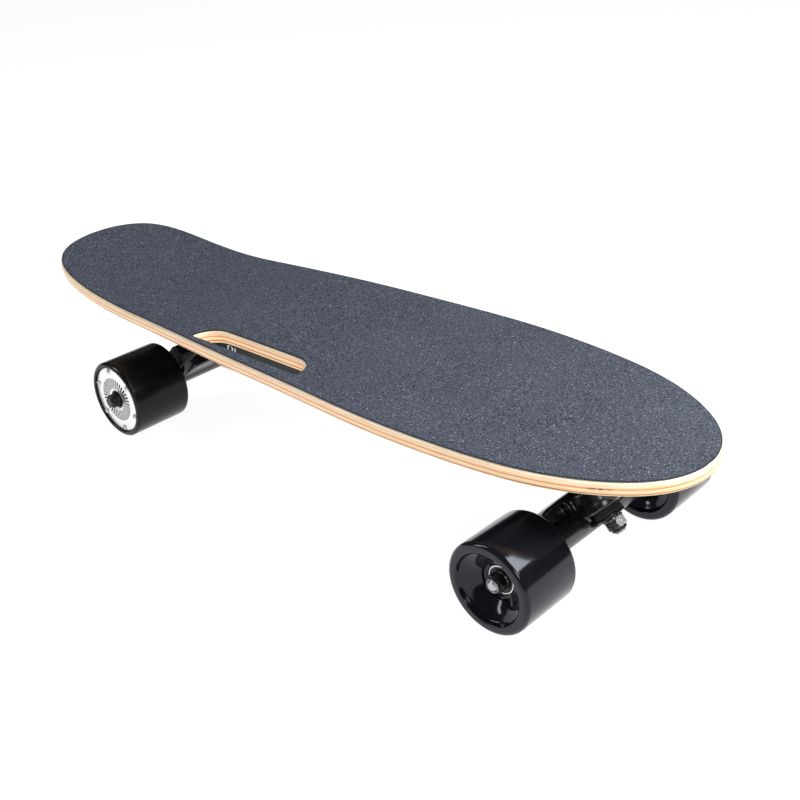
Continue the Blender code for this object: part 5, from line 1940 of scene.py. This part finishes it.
@dataclass
class Electronics:
    """The box under the deck, what shows on it, what it holds, and the motor's cable."""

    deck: Deck
    x: tuple[float, float] = (-0.125, 0.175)
    half_width: float = 0.0520
    floor: float = 0.0765
    wall: float = 0.0025
    corner: float = 0.016
    gasket: float = 0.0012
    ribs: int = 9
    rib_start: float = 0.060
    rib_pitch: float = 0.0225
    screw_places: tuple[float, ...] = (-0.108, -0.034, 0.025, 0.084, 0.158)
    port_x: float = -0.0800
    button_x: float = -0.1010
    light_x: float = -0.0735
    panel_z: float = 0.1000
    cable_radius: float = 0.0026
    cable_route: tuple[Place, ...] = (
        (-0.1256, -0.0200, 0.0900), (-0.1360, -0.0225, 0.0875), (-0.1500, -0.0310, 0.0770),
        (-0.1650, -0.0380, 0.0640), (-0.1790, -0.0400, 0.0530), (-0.1913, -0.0403, 0.0427))

    def build(self) -> None:
        """Make every piece of the electronics."""
        self.build_box()
        self.build_gasket()
        self.build_panel()
        self.build_insides()
        self.build_cable()

    def deck_trim(self, drop: float) -> Piece:
        """A cutter over everything above the deck's lower face, less the drop.

        Args:
            drop: How far below the deck it starts.

        Returns:
            The cutter.
        """
        sections = []
        for i in range(40):
            x = self.x[0] - 0.01 + (self.x[1] - self.x[0] + 0.02) * i / 39
            base = self.deck.bottom(x) - drop
            sections.append([(x, -0.08, base), (x, 0.08, base), (x, 0.08, 0.15), (x, -0.08, 0.15)])
        return loft("trim_tool", None, sections)

    def build_box(self) -> None:
        """The moulded box: drafted floor edge, recessed belly, ribs and screws."""
        outline = rectangle((self.x[0], -self.half_width), (self.x[1], self.half_width), self.corner, 10)
        box = prism("moulded_electronics_box", PLASTIC, outline, self.floor, 0.13)
        floor_edges = [e for e in box.data.edges
                       if all(abs(box.data.vertices[v].co.z - self.floor) < 1e-6 for v in e.vertices)]
        weights = box.data.attributes.new("bevel_weight_edge", "FLOAT", "EDGE")
        for edge in floor_edges:
            weights.data[edge.index].value = 1.0
        step = box.modifiers.new("Floor", "BEVEL")
        step.width = 0.0035
        step.segments = 5
        step.limit_method = "WEIGHT"
        settle(box)
        cut(box, self.deck_trim(GAP + self.gasket + GAP))
        inner = rectangle((self.x[0] + self.wall, -self.half_width + self.wall),
                          (self.x[1] - self.wall, self.half_width - self.wall),
                          self.corner - self.wall, 8)
        cut(box, prism("hollow_tool", None, inner, self.floor + self.wall, 0.14))
        for x, radius in ((self.port_x, 0.0036), (self.button_x, 0.0056)):
            hole = moved(rod("hole_tool", None, radius, -0.01, 0.01), UP_TO_RIGHT)
            cut(box, moved(hole, at(x, -self.half_width, self.panel_z)))
        hole = moved(rod("hole_tool", None, 0.0036, -0.01, 0.01), UP_TO_FRONT)
        cut(box, moved(hole, at(self.x[0], *self.cable_route[0][1:])))
        for i in range(self.ribs):
            x = self.x[0] + self.rib_start + self.rib_pitch * i
            groove = prism("groove_tool", None, rectangle((x, -0.030), (x + 0.006, 0.030), 0.0029, 5),
                           self.floor - 0.005, self.floor + 0.0009)
            cut(box, groove)
        fit(shade(box, 30.0), "deck_body", "box_plastic", "electronics_enclosure")
        self.build_box_screws()

    def build_box_screws(self) -> None:
        """Countersunk screws in the belly of the box, near its rim."""
        screws = []
        from_edge = self.half_width - 0.0085
        spots = [(x, sign * from_edge) for x in self.screw_places for sign in (-1, 1)]
        for x, y in spots:
            corners = [(0.0, 0.0006, 0), (0.0030, 0.0006, 0.0002), (0.0030, -0.0002, 0.0003),
                       (0.0026, -0.0006, 0.0003), (0.0, -0.0006, 0)]
            head = turned("box_screw", BLACK_STEEL, filleted(corners, 3), 28)
            cut(head, prism("socket_tool", None, hexagon(0.0022), -0.002, 0.0002))
            screws.append(moved(shade(head, 30.0), at(x, y, self.floor + 0.0005)))
        fit(gather("box_belly_screws", screws), "deck_body", "black_steel")

    def build_gasket(self) -> None:
        """The soft seal between the box and the deck."""
        piece = refined("box_rim_gasket", "enclosure_gasket", RUBBER, 0.0)
        fit(piece, "deck_body", "soft_rubber", "enclosure_gasket")

    def build_panel(self) -> None:
        """Charging socket, status light and power button on the right wall."""
        side = at(0.0, -self.half_width, self.panel_z) @ UP_TO_RIGHT
        rim = [(0.0022, -0.0005, 0.0002), (0.0034, -0.0005, 0), (0.0034, 0.0003, 0.0002),
               (0.0029, 0.0008, 0.0003), (0.0022, 0.0006, 0.0002)]
        barrel = [(0.0017, -0.006, 0), (0.0033, -0.006, 0), (0.0033, 0.0, 0), (0.0024, 0.0002, 0),
                  (0.0023, -0.003, 0), (0.0017, -0.003, 0)]
        port = gather("charging_socket", [turned("rim", SOCKET, filleted(rim, 4), 48),
                                          turned("barrel", SEAL, filleted(barrel, 2), 32)])
        shift = at(self.port_x, 0, 0)
        fit(moved(port, shift @ side), "deck_body", "socket_metal", "charging_port")
        button = [(0.0, -0.0060, 0), (0.0050, -0.0060, 0.0003), (0.0050, 0.0012, 0.0006),
                  (0.0040, 0.0016, 0.0004), (0.0030, 0.0011, 0.0010), (0.0, 0.0010, 0)]
        shift = at(self.button_x, 0, 0)
        fit(moved(turned("power_push_button", PLASTIC, filleted(button, 4), 48), shift @ side),
            "power_button_body", "box_plastic", "power_button")
        bezel = ring("power_button_bezel", BLACK_STEEL, 0.0057, 0.0070, -0.0004, 0.0007, 0.0003, 56)
        fit(moved(bezel, shift @ side), "deck_body", "black_steel")
        lens = prism("status_light_lens", LENS, rectangle((-0.0007, -0.0017), (0.0007, 0.0017), 0.0006, 4),
                     -0.0006, 0.0003, 0.0001)
        fit(moved(lens, at(self.light_x, 0, 0) @ side), "deck_body", "socket_metal")

    def build_insides(self) -> None:
        """Finishes for the battery and the controller, which stay as they are."""
        for node, finish in (("battery_pack", WRAP), ("motor_controller", BOARD)):
            mesh = frame["nodes"][node].data
            mesh.materials.clear()
            mesh.materials.append(finish.material())

    def build_cable(self) -> None:
        """The motor's lead, with a grommet where it leaves the box."""
        route = smooth_route(self.cable_route, 44)
        cable = tube("motor_power_lead", JACKET, route, self.cable_radius)
        flex(cable, ("deck_body", "rear_hanger_body"), (route[6], route[-6]), "cable_jacket",
             "motor_cable")
        corners = [(0.0028, -0.0030, 0.0002), (0.0048, -0.0028, 0.0006), (0.0046, -0.0002, 0.0003),
                   (0.0035, -0.0001, 0.0002), (0.0035, 0.0022, 0), (0.0028, 0.0022, 0)]
        grommet = turned("motor_lead_grommet", RUBBER, filleted(corners, 3), 40)
        spot = at(self.x[0], *self.cable_route[0][1:])
        fit(moved(grommet, spot @ UP_TO_FRONT), "deck_body", "soft_rubber")


# ------------------------------------------------------------------ studio


@dataclass
class Studio:
    """The floor, the lights and the camera."""

    camera_place: Place = (0.6725, -0.5905, 0.4993)
    heading: float = 2.3673
    dip: float = 0.4675
    roll: float = -0.0783
    lens: float = 52.39
    floor_size: float = 40.0

    def build(self) -> None:
        """Set up floor, lights and camera."""
        self.build_world()
        self.build_floor()
        self.build_lights()
        self.build_camera()

    def build_world(self) -> None:
        """A dim grey room and plain colours."""
        world = bpy.data.worlds.new("studio")
        world.use_nodes = True
        background = world.node_tree.nodes["Background"]
        background.inputs["Color"].default_value = (0.9, 0.95, 1.0, 1.0)
        background.inputs["Strength"].default_value = 0.08
        bpy.context.scene.world = world
        bpy.context.scene.view_settings.view_transform = "Standard"

    def build_floor(self) -> None:
        """A plain pale floor."""
        half = self.floor_size / 2
        corners = [(-half, -half, 0), (half, -half, 0), (half, half, 0), (-half, half, 0)]
        floor = new_piece("floor", mesh_of("floor", corners, [(0, 1, 2, 3)]))
        wire = Wiring("floor_paint")
        wire.set(Base_Color=(0.30, 0.30, 0.30, 1.0), Roughness=0.9, Specular_IOR_Level=0.1,
                 Emission_Color=(1.0, 1.0, 1.0, 1.0), Emission_Strength=0.93)
        floor.data.materials.append(wire.material)
        floor.location.z = -0.0004

    def add_light(self, name: str, place: Place, aim: Place, size: tuple[float, float],
                  power: float, tint: Colour = (1, 1, 1)) -> None:
        """A soft rectangular lamp that looks at a point.

        Args:
            name: The lamp's name.
            place: Where it stands.
            aim: The point that it looks at.
            size: Its width and height.
            power: Its power in watts.
            tint: Its colour.
        """
        light = bpy.data.lights.new(name, "AREA")
        light.shape = "RECTANGLE"
        light.size, light.size_y = size
        light.energy = power
        light.color = tint
        lamp = bpy.data.objects.new(name, light)
        bpy.context.scene.collection.objects.link(lamp)
        lamp.location = place
        lamp.rotation_mode = "QUATERNION"
        lamp.rotation_quaternion = (Vector(aim) - Vector(place)).to_track_quat("-Z", "Y")

    def build_lights(self) -> None:
        """A large soft box overhead, a strip on the left and a small box in front."""
        self.add_light("top_box", (0.95, 0.35, 1.15), (0.15, 0.0, 0.1), (1.0, 0.9), 33.0)
        self.add_light("left_strip", (-1.1, -1.2, 1.1), (0.1, 0.0, 0.05), (0.25, 1.4), 12.0)
        self.add_light("front_box", (1.25, -0.85, 0.80), (0.2, 0.0, 0.06), (0.5, 0.35), 5.0)

    def build_camera(self) -> None:
        """The camera, looking down the board from beyond its nose."""
        look = Vector((math.cos(self.dip) * math.cos(self.heading),
                       math.cos(self.dip) * math.sin(self.heading), -math.sin(self.dip)))
        side = look.cross(Vector((0, 0, 1))).normalized()
        up = side.cross(look)
        right = side * math.cos(self.roll) + up * math.sin(self.roll)
        head = up * math.cos(self.roll) - side * math.sin(self.roll)
        turn = Matrix((right, head, -look)).transposed().to_4x4()
        camera = bpy.data.objects.new("camera", bpy.data.cameras.new("camera"))
        camera.data.lens = self.lens
        camera.data.sensor_width = 36.0
        camera.data.clip_start = 0.01
        bpy.context.scene.collection.objects.link(camera)
        camera.matrix_world = at(*self.camera_place) @ turn
        bpy.context.scene.camera = camera


def main() -> None:
    """Build the board, sub-assembly by sub-assembly."""
    logging.basicConfig(level=logging.INFO, format="%(name)s: %(message)s")
    deck = Deck()
    deck.build()
    for end in End:
        Truck(end).build()
    for end, hand in ((End.FRONT, Hand.LEFT), (End.FRONT, Hand.RIGHT), (End.REAR, Hand.LEFT)):
        Wheel(end, hand).build()
    HubMotor().build()
    Electronics(deck).build()
    Studio().build()


if __name__ == "__main__":
    main()
